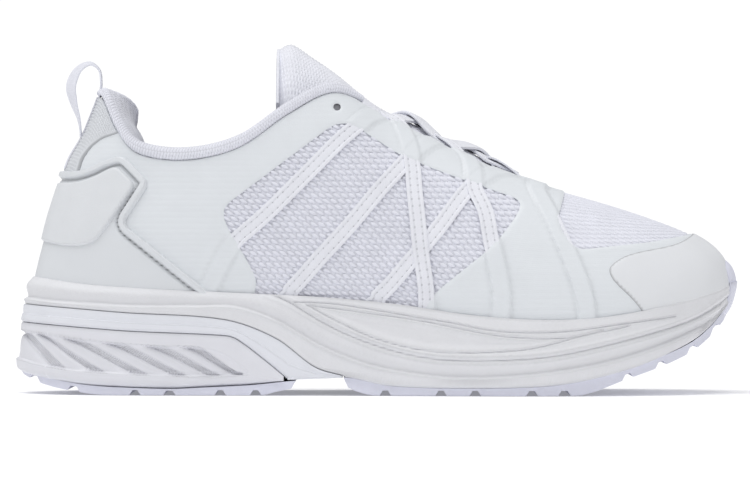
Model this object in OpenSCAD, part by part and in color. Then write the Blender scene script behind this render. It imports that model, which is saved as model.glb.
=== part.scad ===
// Right running shoe: cushioned two-part sole, knitted upper with film overlays,
// webbing lace loops, heel clip, padded collar, hinged tongue and heel pull tab.
// Lengths along X start at the back of the heel; the lateral side faces -Y.

/* [Size] */
// Overall length from the heel wedge to the toe bumper
shoe_length = 292; // [250:1:315]

/* [Sole] */
// Height of the tread lugs
lug_h = 2; // [1.2:0.1:2.4]
// Thickness of the removable sockliner
liner_t = 4.5; // [3:0.5:5]
// Thickness of the stitched-in strobel board
board_t = 1.5; // [1:0.1:1.6]

/* [Upper] */
// Thickness of the knitted shell
shell_t = 1.6; // [1.2:0.1:1.7]
// Thickness of the welded film overlays
film_t = 0.5; // [0.3:0.1:0.6]
// Width of the webbing that carries the lace
webbing_w = 6; // [4:0.5:7]
// Thickness of the collar padding at the heel
collar_t = 9; // [7:0.5:10]

/* [Lace and pull tab] */
// Width of the flat lace
lace_w = 7; // [5:0.5:8]
// Thickness of the flat lace
lace_t = 1.4; // [1:0.1:1.6]
// Width of the pull tab tape
tab_w = 10; // [7:1:12]
// Thickness of the pull tab tape
tab_t = 1.2; // [0.8:0.1:1.5]

/* [Hidden] */

standard_length = 292;
size_f = shoe_length / standard_length;
half_length = 146;
width_shift = -0.5;
e = 0.02;

// Side view stations of the upper, from the heel (first) to the toe (last):
// foot of the wall x, lateral and medial half width; top edge x, half width, height;
// then the wall's bow: outward and upward handle at the foot, outward, downward and
// forward handle at the top edge.
STATIONS = [
    [  9.0,  0.0,  0.0,  34.0,  0.0, 119.5, -5.0, 24,  8.5, 22,  0],
    [ 12.5, 14.0, 14.0,  36.5, 11.0, 118.0, -3.5, 24,  7.0, 22,  0],
    [ 23.0, 26.0, 25.5,  42.5, 20.5, 105.0,  0.0, 22,  5.0, 20,  0],
    [ 42.0, 34.0, 33.0,  51.0, 27.0,  96.0,  1.0, 20,  4.0, 18,  0],
    [ 66.0, 37.0, 34.5,  70.0, 30.5,  93.5,  1.5, 18,  4.5, 17,  0],
    [ 93.0, 37.5, 33.5,  91.0, 31.5,  98.5,  1.5, 20,  5.0, 18,  1],
    [122.0, 39.5, 34.5, 111.0, 30.5, 112.0,  1.5, 24,  7.5, 21,  3],
    [152.0, 43.5, 39.0, 129.0, 27.5, 120.5,  1.0, 24, 11.0, 22,  6],
    [182.0, 48.0, 45.5, 146.0, 21.5, 114.5,  0.5, 22, 15.0, 18, 12],
    [212.0, 50.0, 49.0, 164.0, 17.5, 105.0,  0.0, 20, 18.0, 13, 18],
    [240.0, 46.0, 48.0, 182.0, 15.0,  95.5, -0.5, 18, 17.0, 10, 24],
    [264.0, 36.0, 41.5, 196.0, 12.5,  88.5, -1.0, 17, 15.0,  8, 32],
    [281.5, 20.0, 28.5, 204.5,  7.5,  84.8, -1.5, 18,  8.0, 11, 52],
    [289.6,  5.0,  5.0, 207.0,  0.0,  84.0, -1.5, 18,  0.0, 16, 66]];
TOE = len(STATIONS) - 1;
AROUND = 2 * TOE;

// Heights along the shoe
FEATHER = [[6, 47.5], [34, 43.8], [80, 41.2], [125, 39], [155, 36.2], [182, 32.2], [210, 30.2],
    [236, 31.2], [262, 35.8], [281, 40.8], [292, 45.2]];
BED_DEPTH = [[6, 9.5], [80, 8.8], [125, 8], [182, 6.4], [292, 6.4]];
BAND_TOP = [[3, 36.4], [45, 32.8], [86, 29.9], [106.5, 22.5], [121.9, 11.3], [133.7, 7.6]];
WEDGE_TOP = [[3, 29.2], [45, 25.6], [86, 23.6], [91, 22], [101.4, 14.3], [111, 6.4]];
FOAM_BOTTOM = [[0, 13.3], [3.8, 10.4], [14.2, 6.8], [29.6, 4.1], [45, 3.1], [65.4, 2.6], [75.8, 3.1],
    [96, 4.1], [110.6, 5.6], [123, 6.3], [134, 7.2], [150, 4], [172.6, 3], [206.6, 3.4], [223.6, 5.1],
    [245, 10.2], [263.2, 17], [274.6, 22.7], [285.9, 32.9], [291, 40]];
band_front = 133;
wedge_front = 109.5;

// Bulge of the sole's side wall beyond the foot of the upper, along the path around the shoe
WALL_TOP = [[0, 2.6], [3, 2.2], [9, 2], [10.6, 1.4], [11.4, 0.8], [13, 0.8]];
WALL_MID = [[0, 5.2], [3, 4.2], [9, 4.2], [10.5, 3], [11.4, 0.7], [13, 0.6]];
WALL_BAND = [[0, 6], [2, 5.2], [4, 4.5], [7, 4.2]];
WALL_LOW = [[0, 8.8], [1, 8.2], [2.5, 6.5], [4, 5.5], [7, 4.6]];

/* ---- curves and surfaces ---- */

// Smooth curve through hand-placed [x, value] pairs, level beyond its ends
function curve(p, x) =
    let (m = len(p) - 1,
        i = max(0, min(m - 1, len([for (q = p) if (q[0] <= x) 1]) - 1)),
        a = p[max(0, i - 1)], b = p[i], c = p[i + 1], d = p[min(m, i + 2)],
        h = c[0] - b[0], u = max(0, min(1, (x - b[0]) / h)),
        mb = (c[1] - a[1]) / max(c[0] - a[0], e), mc = (d[1] - b[1]) / max(d[0] - b[0], e))
    (2 * u^3 - 3 * u^2 + 1) * b[1] + (u^3 - 2 * u^2 + u) * h * mb
        + (3 * u^2 - 2 * u^3) * c[1] + (u^3 - u^2) * h * mc;

// Catmull-Rom blend between b and c
function blend(a, b, c, d, u) =
    0.5 * (2 * b + (c - a) * u + (2 * a - 5 * b + 4 * c - d) * u^2 + (3 * b - a - 3 * c + d) * u^3);

// One station of the loop heel, lateral side, toe, medial side
function station(i) =
    let (j = i - AROUND * floor(i / AROUND), lateral = j <= TOE, k = lateral ? j : AROUND - j,
        r = STATIONS[k], side = lateral ? -1 : 1, half = lateral ? r[1] : r[2],
        foot_y = k == TOE ? half : side * half, throat_shift = max(0, min(2, (k - 7) / 2)))
    concat([r[0], foot_y, r[3], side * r[4] + throat_shift], [for (c = [5 : 10]) r[c]]);

function path_at(t) =
    let (i = floor(t), u = t - i)
    blend(station(i - 1), station(i), station(i + 1), station(i + 2), u);

function unit(v) = v / norm(v);

// Outward direction in plan at the foot of the wall
function plan_out(t) =
    let (a = path_at(t - e), b = path_at(t + e), d = unit([b[0] - a[0], b[1] - a[1]]))
    [d[1], -d[0], 0];

function foot(t) = let (s = path_at(t)) [s[0], s[1], curve(FEATHER, s[0])];

// Upper surface: v = 0 at the sole, v = 1 at the collar and throat edge
function skin(t, v) =
    let (s = path_at(t), n = plan_out(t), low = foot(t), top = [s[2], s[3], s[4]],
        h1 = low + n * s[5] + [0, 0, s[6]],
        h2 = top + n * s[7] + [s[9], 0, -s[8]])
    (1 - v)^3 * low + 3 * (1 - v)^2 * v * h1 + 3 * (1 - v) * v^2 * h2 + v^3 * top;

function skin_out(t, v) =
    unit(cross(skin(t + e, v) - skin(t - e, v), skin(t, v + e) - skin(t, v - e)));

// Point of the upper moved off its surface; below v = 0 it drops straight into the sole
turn_in = 0.1;
function layer(t, v, off) = v >= 0
    ? skin(t, v) + skin_out(t, v) * off
    : let (n = plan_out(t), low = foot(t), drop = -v * curve(BED_DEPTH, low[0]))
        low + n * (off - turn_in * drop) - [0, 0, drop];

/* ---- closed meshes ---- */

// Two triangles of a quad whose corners run clockwise seen from outside
function quad(a, b, c, d) = [[a, b, c], [a, c, d]];

// Closed sheet between an outer and an inner grid of points; rows run along the loop
module sheet(outer, inner, closed = false) {
    n = len(outer);
    m = len(outer[0]);
    inside = n * m;
    points = concat([for (r = outer) each r], [for (r = inner) each r]);
    span = closed ? n : n - 1;
    function at(i, j) = (i % n) * m + j;
    faces = concat(
        [for (i = [0 : span - 1], j = [0 : m - 2])
            each quad(at(i, j), at(i, j + 1), at(i + 1, j + 1), at(i + 1, j))],
        [for (i = [0 : span - 1], j = [0 : m - 2])
            each quad(inside + at(i, j), inside + at(i + 1, j),
                inside + at(i + 1, j + 1), inside + at(i, j + 1))],
        [for (i = [0 : span - 1])
            each quad(at(i, 0), at(i + 1, 0), inside + at(i + 1, 0), inside + at(i, 0))],
        [for (i = [0 : span - 1])
            each quad(at(i + 1, m - 1), at(i, m - 1), inside + at(i, m - 1), inside + at(i + 1, m - 1))],
        closed ? [] : [for (j = [0 : m - 2])
            each quad(at(0, j + 1), at(0, j), inside + at(0, j), inside + at(0, j + 1))],
        closed ? [] : [for (j = [0 : m - 2])
            each quad(at(n - 1, j), at(n - 1, j + 1),
                inside + at(n - 1, j + 1), inside + at(n - 1, j))]);
    polyhedron(points, faces, convexity = 10);
}

// Solid through stacked rings, capped by strips across the shoe. Each ring starts at the
// middle of one end when it is a whole outline, or at the medial front corner when it is cut.
module stack(rings, whole) {
    n = len(rings[0]);
    m = len(rings);
    points = [for (r = rings) each r];
    half = whole ? n / 2 : floor(n / 2);
    function across(i) = whole ? (n - i) % n : n - 1 - i;
    function cap(base, up) = [for (i = [0 : half - 1])
        let (a = i, b = i + 1, c = across(i + 1), d = across(i))
        each concat(b == c ? [] : [up ? [base + a, base + c, base + b] : [base + a, base + b, base + c]],
            a == d ? [] : [up ? [base + a, base + d, base + c] : [base + a, base + c, base + d]])];
    faces = concat(cap(0, false), cap((m - 1) * n, true),
        [for (j = [0 : m - 2], i = [0 : n - 1]) let (a = j * n + i, b = j * n + (i + 1) % n)
            each quad(a, a + n, b + n, b)]);
    polyhedron(points, faces, convexity = 10);
}

// Solid tube through rings of points along a path, with fan caps
module tube(rings) {
    n = len(rings[0]);
    m = len(rings);
    points = [for (r = rings) each r];
    faces = concat(
        [for (i = [1 : n - 2]) [0, i, i + 1]],
        [for (i = [1 : n - 2]) [(m - 1) * n, (m - 1) * n + i + 1, (m - 1) * n + i]],
        [for (j = [0 : m - 2], i = [0 : n - 1]) let (a = j * n + i, b = j * n + (i + 1) % n)
            each quad(a, a + n, b + n, b)]);
    polyhedron(points, faces, convexity = 10);
}

// Place in the part's frame: origin under the middle of the shoe
module placed() {
    scale(size_f) translate([-half_length, -width_shift, 0]) children();
}

/* ---- sole ---- */

sole_step = 0.5;
SOLE_T = [for (t = [0 : sole_step : AROUND - sole_step / 2]) t];

// Point of the sole's outline, grown outward in plan
function edge_at(t, grow) = let (s = path_at(t), n = plan_out(t)) [s[0], s[1], 0] + n * grow;
function folded(t) = let (j = t - AROUND * floor(t / AROUND)) min(j, AROUND - j);

// Path parameter where the foot of the wall reaches x, searched along the lateral side
function reach(x, lo = 0, hi = 13) =
    hi - lo < 0.001 ? lo
        : let (mid = (lo + hi) / 2)
        path_at(mid)[0] < x ? reach(x, mid, hi) : reach(x, lo, mid);

// Height of the foam wall's lower edge: on the band at the back, the tread at the front
function foam_low(x) = x < 133.7 ? curve(BAND_TOP, x) : curve(FOAM_BOTTOM, x);
function lip(x) = curve([[120, 0.6], [150, 3.2], [260, 3.2], [292, 2]], x);

function foam_ring(g, z) = [for (t = SOLE_T) let (p = edge_at(t, g(folded(t)))) [p[0], p[1], z(p[0])]];

RIM_CLEAR = [[10, 0.3], [11.4, 0.5], [13, 0.5]];
bed_in = 14;
module midsole_upper_foam() {
    zf = function (x) curve(FEATHER, x);
    bed = function (x) curve(FEATHER, x) - curve(BED_DEPTH, x) - 0.2;
    rings = [
        foam_ring(function (t) curve(WALL_MID, t) - 4, function (x) foam_low(x) + 0.1),
        foam_ring(function (t) curve(WALL_MID, t) - 0.8, function (x) foam_low(x) + lip(x) / 4 + 0.1),
        foam_ring(function (t) curve(WALL_MID, t), function (x) foam_low(x) + lip(x)),
        foam_ring(function (t) curve(WALL_MID, t) * 0.8 + curve(WALL_TOP, t) * 0.2,
            function (x) foam_low(x) * 0.35 + zf(x) * 0.65),
        foam_ring(function (t) curve(WALL_TOP, t), function (x) zf(x) - 1),
        foam_ring(function (t) curve(WALL_TOP, t) * 0.6, function (x) zf(x) - 0.1),
        foam_ring(function (t) curve(RIM_CLEAR, t), function (x) zf(x) - 0.3),
        foam_ring(function (t) curve(RIM_CLEAR, t) - 0.6, bed),
        foam_ring(function (t) -bed_in, bed)];
    color("whitesmoke") placed() stack(rings, true);
}

// Outline cut off straight at x = front: runs from the medial corner round the heel
cut_count = 32;
function cut_t(front) = let (last = reach(front))
    [for (i = [0 : cut_count]) last * (2 * i / cut_count - 1)];
function cut_ring(front, g, z) = [for (t = cut_t(front))
    let (p = edge_at(t, g(abs(t))), x = min(p[0], front)) [x, p[1], z(x)]];

gap = 0.1;
// Wider gap where the layers plunge towards the ground behind the arch
function layer_gap(x) = curve([[78, gap], [86, 0.8], [122, 0.8], [130, gap]], x);
module midsole_band() {
    low = function (x) x < 111 ? curve(WEDGE_TOP, x) : curve([[111, 6], [133, 6.9]], x);
    top = function (x) max(curve(BAND_TOP, x), low(x) + 0.6) - layer_gap(x);
    rings = [
        cut_ring(band_front, function (t) curve(WALL_LOW, t) * 0.3 + curve(WALL_BAND, t) * 0.7,
            function (x) low(x) + gap),
        cut_ring(band_front, function (t) curve(WALL_BAND, t), function (x) (low(x) + top(x)) / 2),
        cut_ring(band_front, function (t) curve(WALL_BAND, t) - 0.4, top)];
    color("lavender") placed() stack(rings, false);
}

module midsole_heel_wedge() {
    low = function (x) curve(FOAM_BOTTOM, x) + gap;
    top = function (x) max(curve(WEDGE_TOP, x) - 2 * layer_gap(x), low(x) + 0.3);
    rings = [
        cut_ring(wedge_front, function (t) curve(WALL_LOW, t) - 3, low),
        cut_ring(wedge_front, function (t) curve(WALL_LOW, t), function (x) low(x) * 0.7 + top(x) * 0.3),
        cut_ring(wedge_front, function (t) curve(WALL_LOW, t) * 0.4 + curve(WALL_BAND, t) * 0.6,
            function (x) low(x) * 0.2 + top(x) * 0.8),
        cut_ring(wedge_front, function (t) curve(WALL_LOW, t) * 0.3 + curve(WALL_BAND, t) * 0.7, top)];
    color("whitesmoke") placed() stack(rings, false);
}

// Plan outline of the tread rubber between two stations along the shoe
module tread_plan(x0, x1, grow) {
    intersection() {
        polygon([for (t = SOLE_T) let (p = edge_at(t, curve(grow, folded(t)))) [p[0], p[1]]]);
        translate([x0, -beyond / 2]) square([x1 - x0, beyond]);
    }
}

// Ground contact line of the lugs
GROUND = [[0, 10.6], [3.8, 7.6], [14.2, 3.6], [29.6, 0.7], [36, 0], [100, 0], [108, 1.8], [116, 3.2],
    [132, 4], [138, 1.6], [145, 0], [225, 0], [245, 6.4], [263.2, 13], [274.6, 18.9], [285.9, 29],
    [291, 36.2]];
function ground(x) = max(0, curve(GROUND, x));
function tread_top(x) = curve(FOAM_BOTTOM, x) - gap;

// Slope of the lugs' ends, and a size that reaches past the sole on every side
lug_draft = 1.3;
beyond = 160;
groove_w = 4;

// Side profile of a rubber slab with lugs between the given pairs of stations
module lug_profile(x0, x1, lugs) {
    web = function (x) min(tread_top(x) - 0.7, ground(x) + lug_h);
    top_x = [for (i = [0 : 36]) x1 - (x1 - x0) * i / 36];
    bottom = [for (l = lugs) each concat(
        [[l[0], web(l[0])], [l[0] + lug_draft, ground(l[0] + lug_draft)]],
        [for (k = [1 : 3]) let (x = l[0] + (l[1] - l[0]) * k / 4) [x, ground(x)]],
        [[l[1] - lug_draft, ground(l[1] - lug_draft)], [l[1], web(l[1])]])];
    polygon(concat([for (x = top_x) [x, tread_top(x)]], bottom));
}

// Long flex grooves cut up into the lugs, each a bowed strip in plan
module long_groove(points, width) {
    linear_extrude(2 * lug_h, center = true)
        for (i = [0 : len(points) - 2]) hull() {
            translate(points[i]) circle(d = width, $fn = 12);
            translate(points[i + 1]) circle(d = width, $fn = 12);
        }
}

module slab(x0, x1, lugs, grow, grooves) {
    difference() {
        intersection() {
            rotate([90, 0, 0]) linear_extrude(beyond, center = true) lug_profile(x0, x1, lugs);
            linear_extrude(beyond) tread_plan(x0, x1, grow);
        }
        for (g = grooves) long_groove(g, groove_w);
    }
}

HEEL_LUGS = [[0.5, 8], [10, 24], [26.5, 49], [51, 62.5], [65, 83], [85, 97], [99, 113.5]];
FORE_LUGS = [[133.5, 148.5], [150.5, 170.5], [172.5, 184], [186, 206.3], [208.5, 219], [221.5, 244.5],
    [246.5, 258], [260, 271], [273, 281], [283, 289]];
module outsole_heel() {
    grow = [[0, 6.5], [1, 6], [2.5, 4.5], [4, 3.8], [13, 3.5]];
    color("lavender") placed()
        slab(0.6, 113.8, HEEL_LUGS, grow, [[[38, 3], [60, 0], [90, -2], [125, -1]]]);
}

module outsole_forefoot() {
    grow = [[0, 3], [9, 2.4], [11, 0.6], [12, -1], [13, -1.6]];
    color("lavender") placed()
        slab(133, 289.2, FORE_LUGS, grow,
            [[[125, -10], [160, -14], [200, -18], [235, -15]],
                [[125, 10], [160, 16], [200, 20], [235, 17]]]);
}

// Rubber that wraps the tip of the toe
module toe_bumper() {
    first = 12.2;
    top_v = [[first, 0.05], [12.45, 0.13], [12.7, 0.19], [13, 0.21]];
    drop = [[first, 4], [12.5, 8], [13, 10]];
    n = 12;
    rows = [for (i = [0 : n])
        let (t = first + (AROUND - 2 * first) * i / n, f = folded(t), d = curve(drop, f),
            v1 = curve(top_v, f))
        [t, d, v1]];
    function point(r, k, off) = k < 3
        ? foot(r[0]) + plan_out(r[0]) * (off - 0.12 * r[1] * (3 - k) / 3) - [0, 0, r[1] * (3 - k) / 3]
        : layer(r[0], r[2] * (k - 3) / 3, off);
    outer = [for (r = rows) [for (k = [0 : 6]) point(r, k, 2.35)]];
    inner = [for (r = rows) [for (k = [0 : 6]) point(r, k, 1.15)]];
    color("lavender") placed() sheet(outer, inner);
}

/* ---- under the foot ---- */

function floor_z(x) = curve(FEATHER, x) - curve(BED_DEPTH, x);
function flat_ring(inset, rise) =
    [for (t = SOLE_T) let (p = edge_at(t, -inset)) [p[0], p[1], floor_z(p[0]) + rise]];

module strobel_board() {
    inset = 0.8 + shell_t + 0.5;
    color("ivory") placed() stack([flat_ring(inset, 0.1), flat_ring(inset, 0.1 + board_t)], true);
}

module sockliner() {
    low = board_t + 0.4;
    color("white") placed() stack([
        flat_ring(8, low), flat_ring(6.6, low + 0.8), flat_ring(6.4, low + liner_t + 1.2),
        flat_ring(8.2, low + liner_t + 0.8), flat_ring(13, low + liner_t)], true);
}

/* ---- upper ---- */

WALL_V = [-1, -0.5, 0, 0.1, 0.22, 0.34, 0.46, 0.58, 0.7, 0.8, 0.9, 1];
SHELL_T = [for (t = [0 : 0.25 : AROUND - 0.125]) t];
module upper_mesh() {
    outer = [for (t = SHELL_T) [for (v = WALL_V) layer(t, v, 0)]];
    inner = [for (t = SHELL_T) [for (v = WALL_V) layer(t, v, -shell_t)]];
    color("lavender") placed() sheet(outer, inner, closed = true);
}

// Patch on the upper between two curves v0(t) and v1(t)
module patch(t0, t1, v0, v1, off0, off1, nt, nv) {
    ts = [for (i = [0 : nt]) t0 + (t1 - t0) * i / nt];
    function grid(off) = [for (t = ts) let (f = folded(t), a = v0(f), b = v1(f))
        [for (k = [0 : nv]) layer(t, a + (b - a) * k / nv, off(f))]];
    sheet(grid(off1), grid(off0));
}

// Patch whose ends follow t = s * reach(v), its top and bottom v(s)
module flap(s0, s1, te, vb, vt, off0, off1, ns, nv) {
    ss = [for (i = [0 : ns]) s0 + (s1 - s0) * i / ns];
    function grid(off) = [for (s = ss) let (q = abs(s), a = vb(q), b = vt(q))
        [for (k = [0 : nv]) let (v = a + (b - a) * k / nv) layer(s * te(v), v, off)]];
    sheet(grid(off1), grid(off0));
}

inner_gap = 0.35;
counter_out = -shell_t - inner_gap;
counter_t = 1.5;
lining_out = counter_out - counter_t - inner_gap;

module toe_puff() {
    color("ivory") placed() patch(10.6, 15.4, function (f) 0.03, function (f) 0.24,
        function (f) counter_out - 0.8, function (f) counter_out, 20, 3);
}

module heel_counter() {
    top = [[0, 0.64], [2, 0.62], [3.5, 0.45], [4.6, 0.2]];
    color("ivory") placed() patch(-4.5, 4.5, function (f) 0.03, function (f) curve(top, f),
        function (f) counter_out - counter_t, function (f) counter_out, 36, 5);
}

module heel_lining() {
    color("white") placed() patch(-6.2, 6.2, function (f) 0.1, function (f) 0.66,
        function (f) lining_out - 0.8, function (f) lining_out, 50, 5);
}

// Padded collar: closed roll over the top edge, running down inside the heel
ROLL = [[0, 4.4], [2, 5.4], [6, 5.4], [7.2, 4.8], [7.8, 3.6]];
PAD = [[0, 1], [2, 1], [4, 0.82], [6, 0.66], [7.8, 0.5]];
module collar_pad() {
    low = -13;
    q = counter_out;
    function section(t) = let (f = folded(t), h = curve(ROLL, f), p = collar_t * curve(PAD, f)) [
        [0.45, 0.2], [h * 0.3, 1.2], [h * 0.65, 1.1], [h * 0.92, 0], [h, -1.5], [h * 0.96, -p * 0.42],
        [h * 0.7, -p * 0.68], [0, -p * 0.9], [low * 0.4, -p], [low * 0.75, -p * 0.94], [low, -p * 0.7],
        [low, q - 0.3], [low * 0.5, q], [-0.4, q], [0.45, q * 0.8]];
    function place(t, w, off) = let (s = path_at(t), top = [s[2], s[3], s[4]], n = plan_out(t),
        up = unit(-n * s[7] + [-s[9], 0, s[8]]), v = 1 + w / (3 * norm([s[7], s[8], s[9]])))
        w > 0 ? top + up * w + skin_out(t, 1) * off : layer(t, v, off);
    ends = 7.7;
    count = 58;
    rings = [for (i = [0 : count]) let (t = ends * (1 - 2 * i / count))
        [for (spot = section(t)) place(t, spot[0], spot[1])]];
    color("lavender") placed() tube(rings);
}

module backtab() {
    reach_t = [[0.56, 1.1], [0.68, 1.16], [0.78, 1.31], [0.98, 1.95]];
    color("lavender") placed() flap(-1, 1, function (v) curve(reach_t, v), function (s) 0.565 + 0.05 * s,
        function (s) 0.985, 0.35, 0.95, 14, 6);
}

module heel_clip() {
    reach_t = [[0, 4.5], [0.17, 4.02], [0.35, 3.48], [0.48, 3], [0.65, 3.15], [0.82, 3.27], [0.92, 3.2]];
    top = [[0, 0.53], [0.38, 0.58], [0.53, 0.7], [0.64, 0.825], [0.85, 0.91], [1, 0.83]];
    color("white") placed() flap(-1, 1, function (v) curve(reach_t, v), function (s) 0.012,
        function (s) curve(top, s), 0.35, 1.9, 36, 7);
}

module heel_pad() {
    reach_t = [[0.2, 2.15], [0.28, 2.46], [0.52, 2.78], [0.77, 3.05], [0.8, 3]];
    top = [[0, 0.48], [0.53, 0.57], [0.75, 0.78], [1, 0.74]];
    color("white") placed() flap(-0.97, 0.97, function (v) curve(reach_t, v), function (s) 0.2 + 0.03 * s,
        function (s) curve(top, s), 2.2, 4.6, 28, 5);
}

film_lift = 2;
LIFT = [[10.4, film_lift], [11.7, film_lift], [12.5, 0.5]];
function film_in(f) = curve(LIFT, f);
function film_out(f) = curve(LIFT, f) + film_t;

// Film over the quarter, from the heel clip to the mesh window
QUARTER_END = [[0.02, 5.2], [0.1, 5.18], [0.3, 4.95], [0.46, 4.74], [0.57, 4.72], [0.71, 5.35], [0.8, 6.3],
    [0.84, 6.7], [0.98, 6.75]];
QUARTER_START = [[0.02, 4.62], [0.17, 4.15], [0.35, 3.62], [0.48, 3.15], [0.65, 3.3], [0.82, 3.42],
    [0.92, 3.3], [0.95, 2.7], [0.98, 2.2]];
module quarter_film(side) {
    rows = [for (k = [0 : 12]) 0.02 + 0.95 * k / 12];
    count = 14;
    function grid(off) = [for (i = [0 : count]) [for (v = rows)
        let (a = curve(QUARTER_START, v), b = curve(QUARTER_END, v),
            u = side > 0 ? 1 - i / count : i / count, f = a + (b - a) * u)
        layer(side > 0 ? AROUND - f : f, v, off)]];
    color("gainsboro") placed() sheet(grid(film_lift + film_t), grid(film_lift));
}

// Film around the lace throat, down to the mesh window and the toe window
EYESTAY_LOW = [[6.85, 0.82], [7.5, 0.776], [8, 0.72], [8.5, 0.684], [8.9, 0.664], [9.4, 0.635], [9.75, 0.6],
    [10.2, 0.62], [10.7, 0.7], [12, 0.8], [13, 0.84]];
module eyestay_film() {
    color("gainsboro") placed() patch(6.85, AROUND - 6.85, function (f) curve(EYESTAY_LOW, f),
        function (f) 0.975, function (f) film_in(f), function (f) film_out(f), 56, 3);
}

// Film from the mesh window forward to the toe cap
FORE_TOP = [[7.62, 0.06], [8.03, 0.2], [8.68, 0.35], [9.3, 0.5], [9.62, 0.54], [9.78, 0.45], [9.92, 0.375],
    [10.05, 0.36]];
module forefoot_film(side) {
    t0 = 7.62;
    t1 = 10.05;
    color("gainsboro") placed() patch(side > 0 ? AROUND - t1 : t0, side > 0 ? AROUND - t0 : t1,
        function (f) 0.02, function (f) curve(FORE_TOP, f), function (f) film_lift,
        function (f) film_lift + film_t, 16, 4);
}

// Smooth overlay around the toe
CAP_TOP = [[10.15, 0.29], [10.34, 0.31], [10.86, 0.335], [11.47, 0.36], [12.18, 0.41], [13, 0.44]];
CAP_LOW = [[10.15, 0.24], [10.25, 0.15], [10.38, 0.06], [10.5, 0.015]];
module toe_cap() {
    color("white") placed() patch(10.15, AROUND - 10.15, function (f) curve(CAP_LOW, f),
        function (f) curve(CAP_TOP, f), function (f) 0.35, function (f) 0.35 + film_t, 36, 5);
}

/* ---- webbing that holds the lace ---- */

// Routes on the upper as [t, v]: up from the sole, round the lace loop, back to the sole
ROUTE_REAR = [[4.5, 0.14], [4.78, 0.28], [5.11, 0.42], [6, 0.616], [7.16, 0.8], [7.75, 0.92],
    [8, 0.96], [8.2, 0.985], [8.4, 0.96], [8.35, 0.88], [8.2, 0.77], [8.05, 0.684], [7.78, 0.512],
    [7.54, 0.28], [7.46, 0.03]];
ROUTE_MIDDLE = [[5.66, 0.03], [6.18, 0.24], [6.94, 0.456], [7.99, 0.704], [8.7, 0.86], [9.15, 0.95],
    [9.4, 0.985], [9.65, 0.95], [9.5, 0.86], [9.2, 0.74], [8.94, 0.634], [8.84, 0.524], [8.61, 0.336],
    [8.44, 0.03]];
ROUTE_FRONT = [[6.83, 0.03], [7.36, 0.232], [8.04, 0.432], [8.9, 0.644], [9.8, 0.82], [10.6, 0.92],
    [11, 0.975], [11.35, 0.93], [11, 0.87], [10.3, 0.74], [9.9, 0.55], [9.68, 0.316], [9.6, 0.03]];
low_lay = 0.3;
high_lay = 1.05;
webbing_t = 0.55;
function route_at(r, u) =
    let (m = len(r) - 1, i = min(m - 1, floor(u)), a = r[max(0, i - 1)], d = r[min(m, i + 2)])
    blend(a, r[i], r[i + 1], d, u - i);
module webbing(route, side) {
    m = len(route) - 1;
    steps = 3 * m;
    apex = m / 2;
    function spot(u) = let (p = route_at(route, u)) skin(side > 0 ? AROUND - p[0] : p[0], p[1]);
    rings = [for (i = [0 : steps]) let (u = m * i / steps, p = route_at(route, u),
        t = side > 0 ? AROUND - p[0] : p[0], n = skin_out(t, p[1]),
        along = unit(spot(min(m, u + 0.05)) - spot(max(0, u - 0.05))),
        across = unit(cross(n, along)) * webbing_w / 2,
        lay = low_lay + (high_lay - low_lay) * max(0, min(1, u - apex + 0.5)), c = skin(t, p[1]))
        [c + across + n * (lay + webbing_t), c - across + n * (lay + webbing_t),
            c - across + n * lay, c + across + n * lay]];
    color("lavender") placed() tube(rings);
}

/* ---- pull tab ---- */

module pull_tab_anchor() {
    half = 0.36;
    color("lavender") placed() patch(-half, half, function (f) 0.6, function (f) 0.83,
        function (f) 1.3, function (f) 1.3 + tab_t * 0.8, 4, 6);
}

// Loop of tape in the middle plane: up from the heel, over, and down behind the collar roll
TAB_ROUTE = [[23.6, 111], [21.6, 117], [21.2, 123], [23, 128.6], [26.4, 132.3], [30.6, 133.2], [33.4, 131],
    [34.6, 127.4]];
module pull_tab() {
    m = len(TAB_ROUTE) - 1;
    steps = 2 * m;
    line = [for (i = [0 : steps]) route_at(TAB_ROUTE, m * i / steps)];
    function normal_at(i) =
        let (d = unit(line[min(steps, i + 1)] - line[max(0, i - 1)]))
        [-d[1], d[0]] * tab_t / 2;
    outline = concat(
        [for (i = [0 : steps]) line[i] + normal_at(i)],
        [for (i = [steps : -1 : 0]) line[i] - normal_at(i)]);
    color("lavender") placed() rotate([90, 0, 0]) linear_extrude(tab_w, center = true) polygon(outline);
}

/* ---- tongue ---- */

// Stations: x, height of the top at the middle, half width, drop to the edges, thickness
TONGUE = [[107, 139, 20, 21, 7], [112, 140.6, 21, 21, 8], [120, 135.5, 21, 19, 8],
    [130, 128.6, 20.5, 17, 8], [146, 116, 20, 13.5, 6.5], [164, 107, 19, 11.5, 6],
    [183, 97, 17, 9.5, 5], [198, 88, 15, 8, 4],
    [206, 82.4, 13.5, 6, 3.2], [213, 77.4, 12, 4.5, 2.6]];
tongue_mid = 0.8;
function tongue_point(r, q, depth) = let (c = abs(q) > 0.9 ? depth * 0.5 : depth)
    [r[0], tongue_mid + q * r[2], r[1] - q * q * r[3] - c];
ACROSS = [-1, -0.92, -0.75, -0.5, -0.25, 0, 0.25, 0.5, 0.75, 0.92, 1];
module tongue() {
    rows = [for (i = [0 : 2 * (len(TONGUE) - 1)]) let (k = i / 2, j = floor(k))
        k == j ? TONGUE[j] : (TONGUE[j] + TONGUE[j + 1]) / 2];
    outer = [for (r = rows) [for (q = ACROSS) tongue_point(r, q, abs(q) > 0.9 ? r[4] * 0.4 : 0)]];
    inner = [for (r = rows) [for (q = ACROSS) tongue_point(r, q, abs(q) > 0.9 ? r[4] * 1.4 : r[4])]];
    color("lavender") placed() mirror([0, 1, 0]) translate([0, -2 * tongue_mid, 0]) sheet(outer, inner);
}

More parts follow.
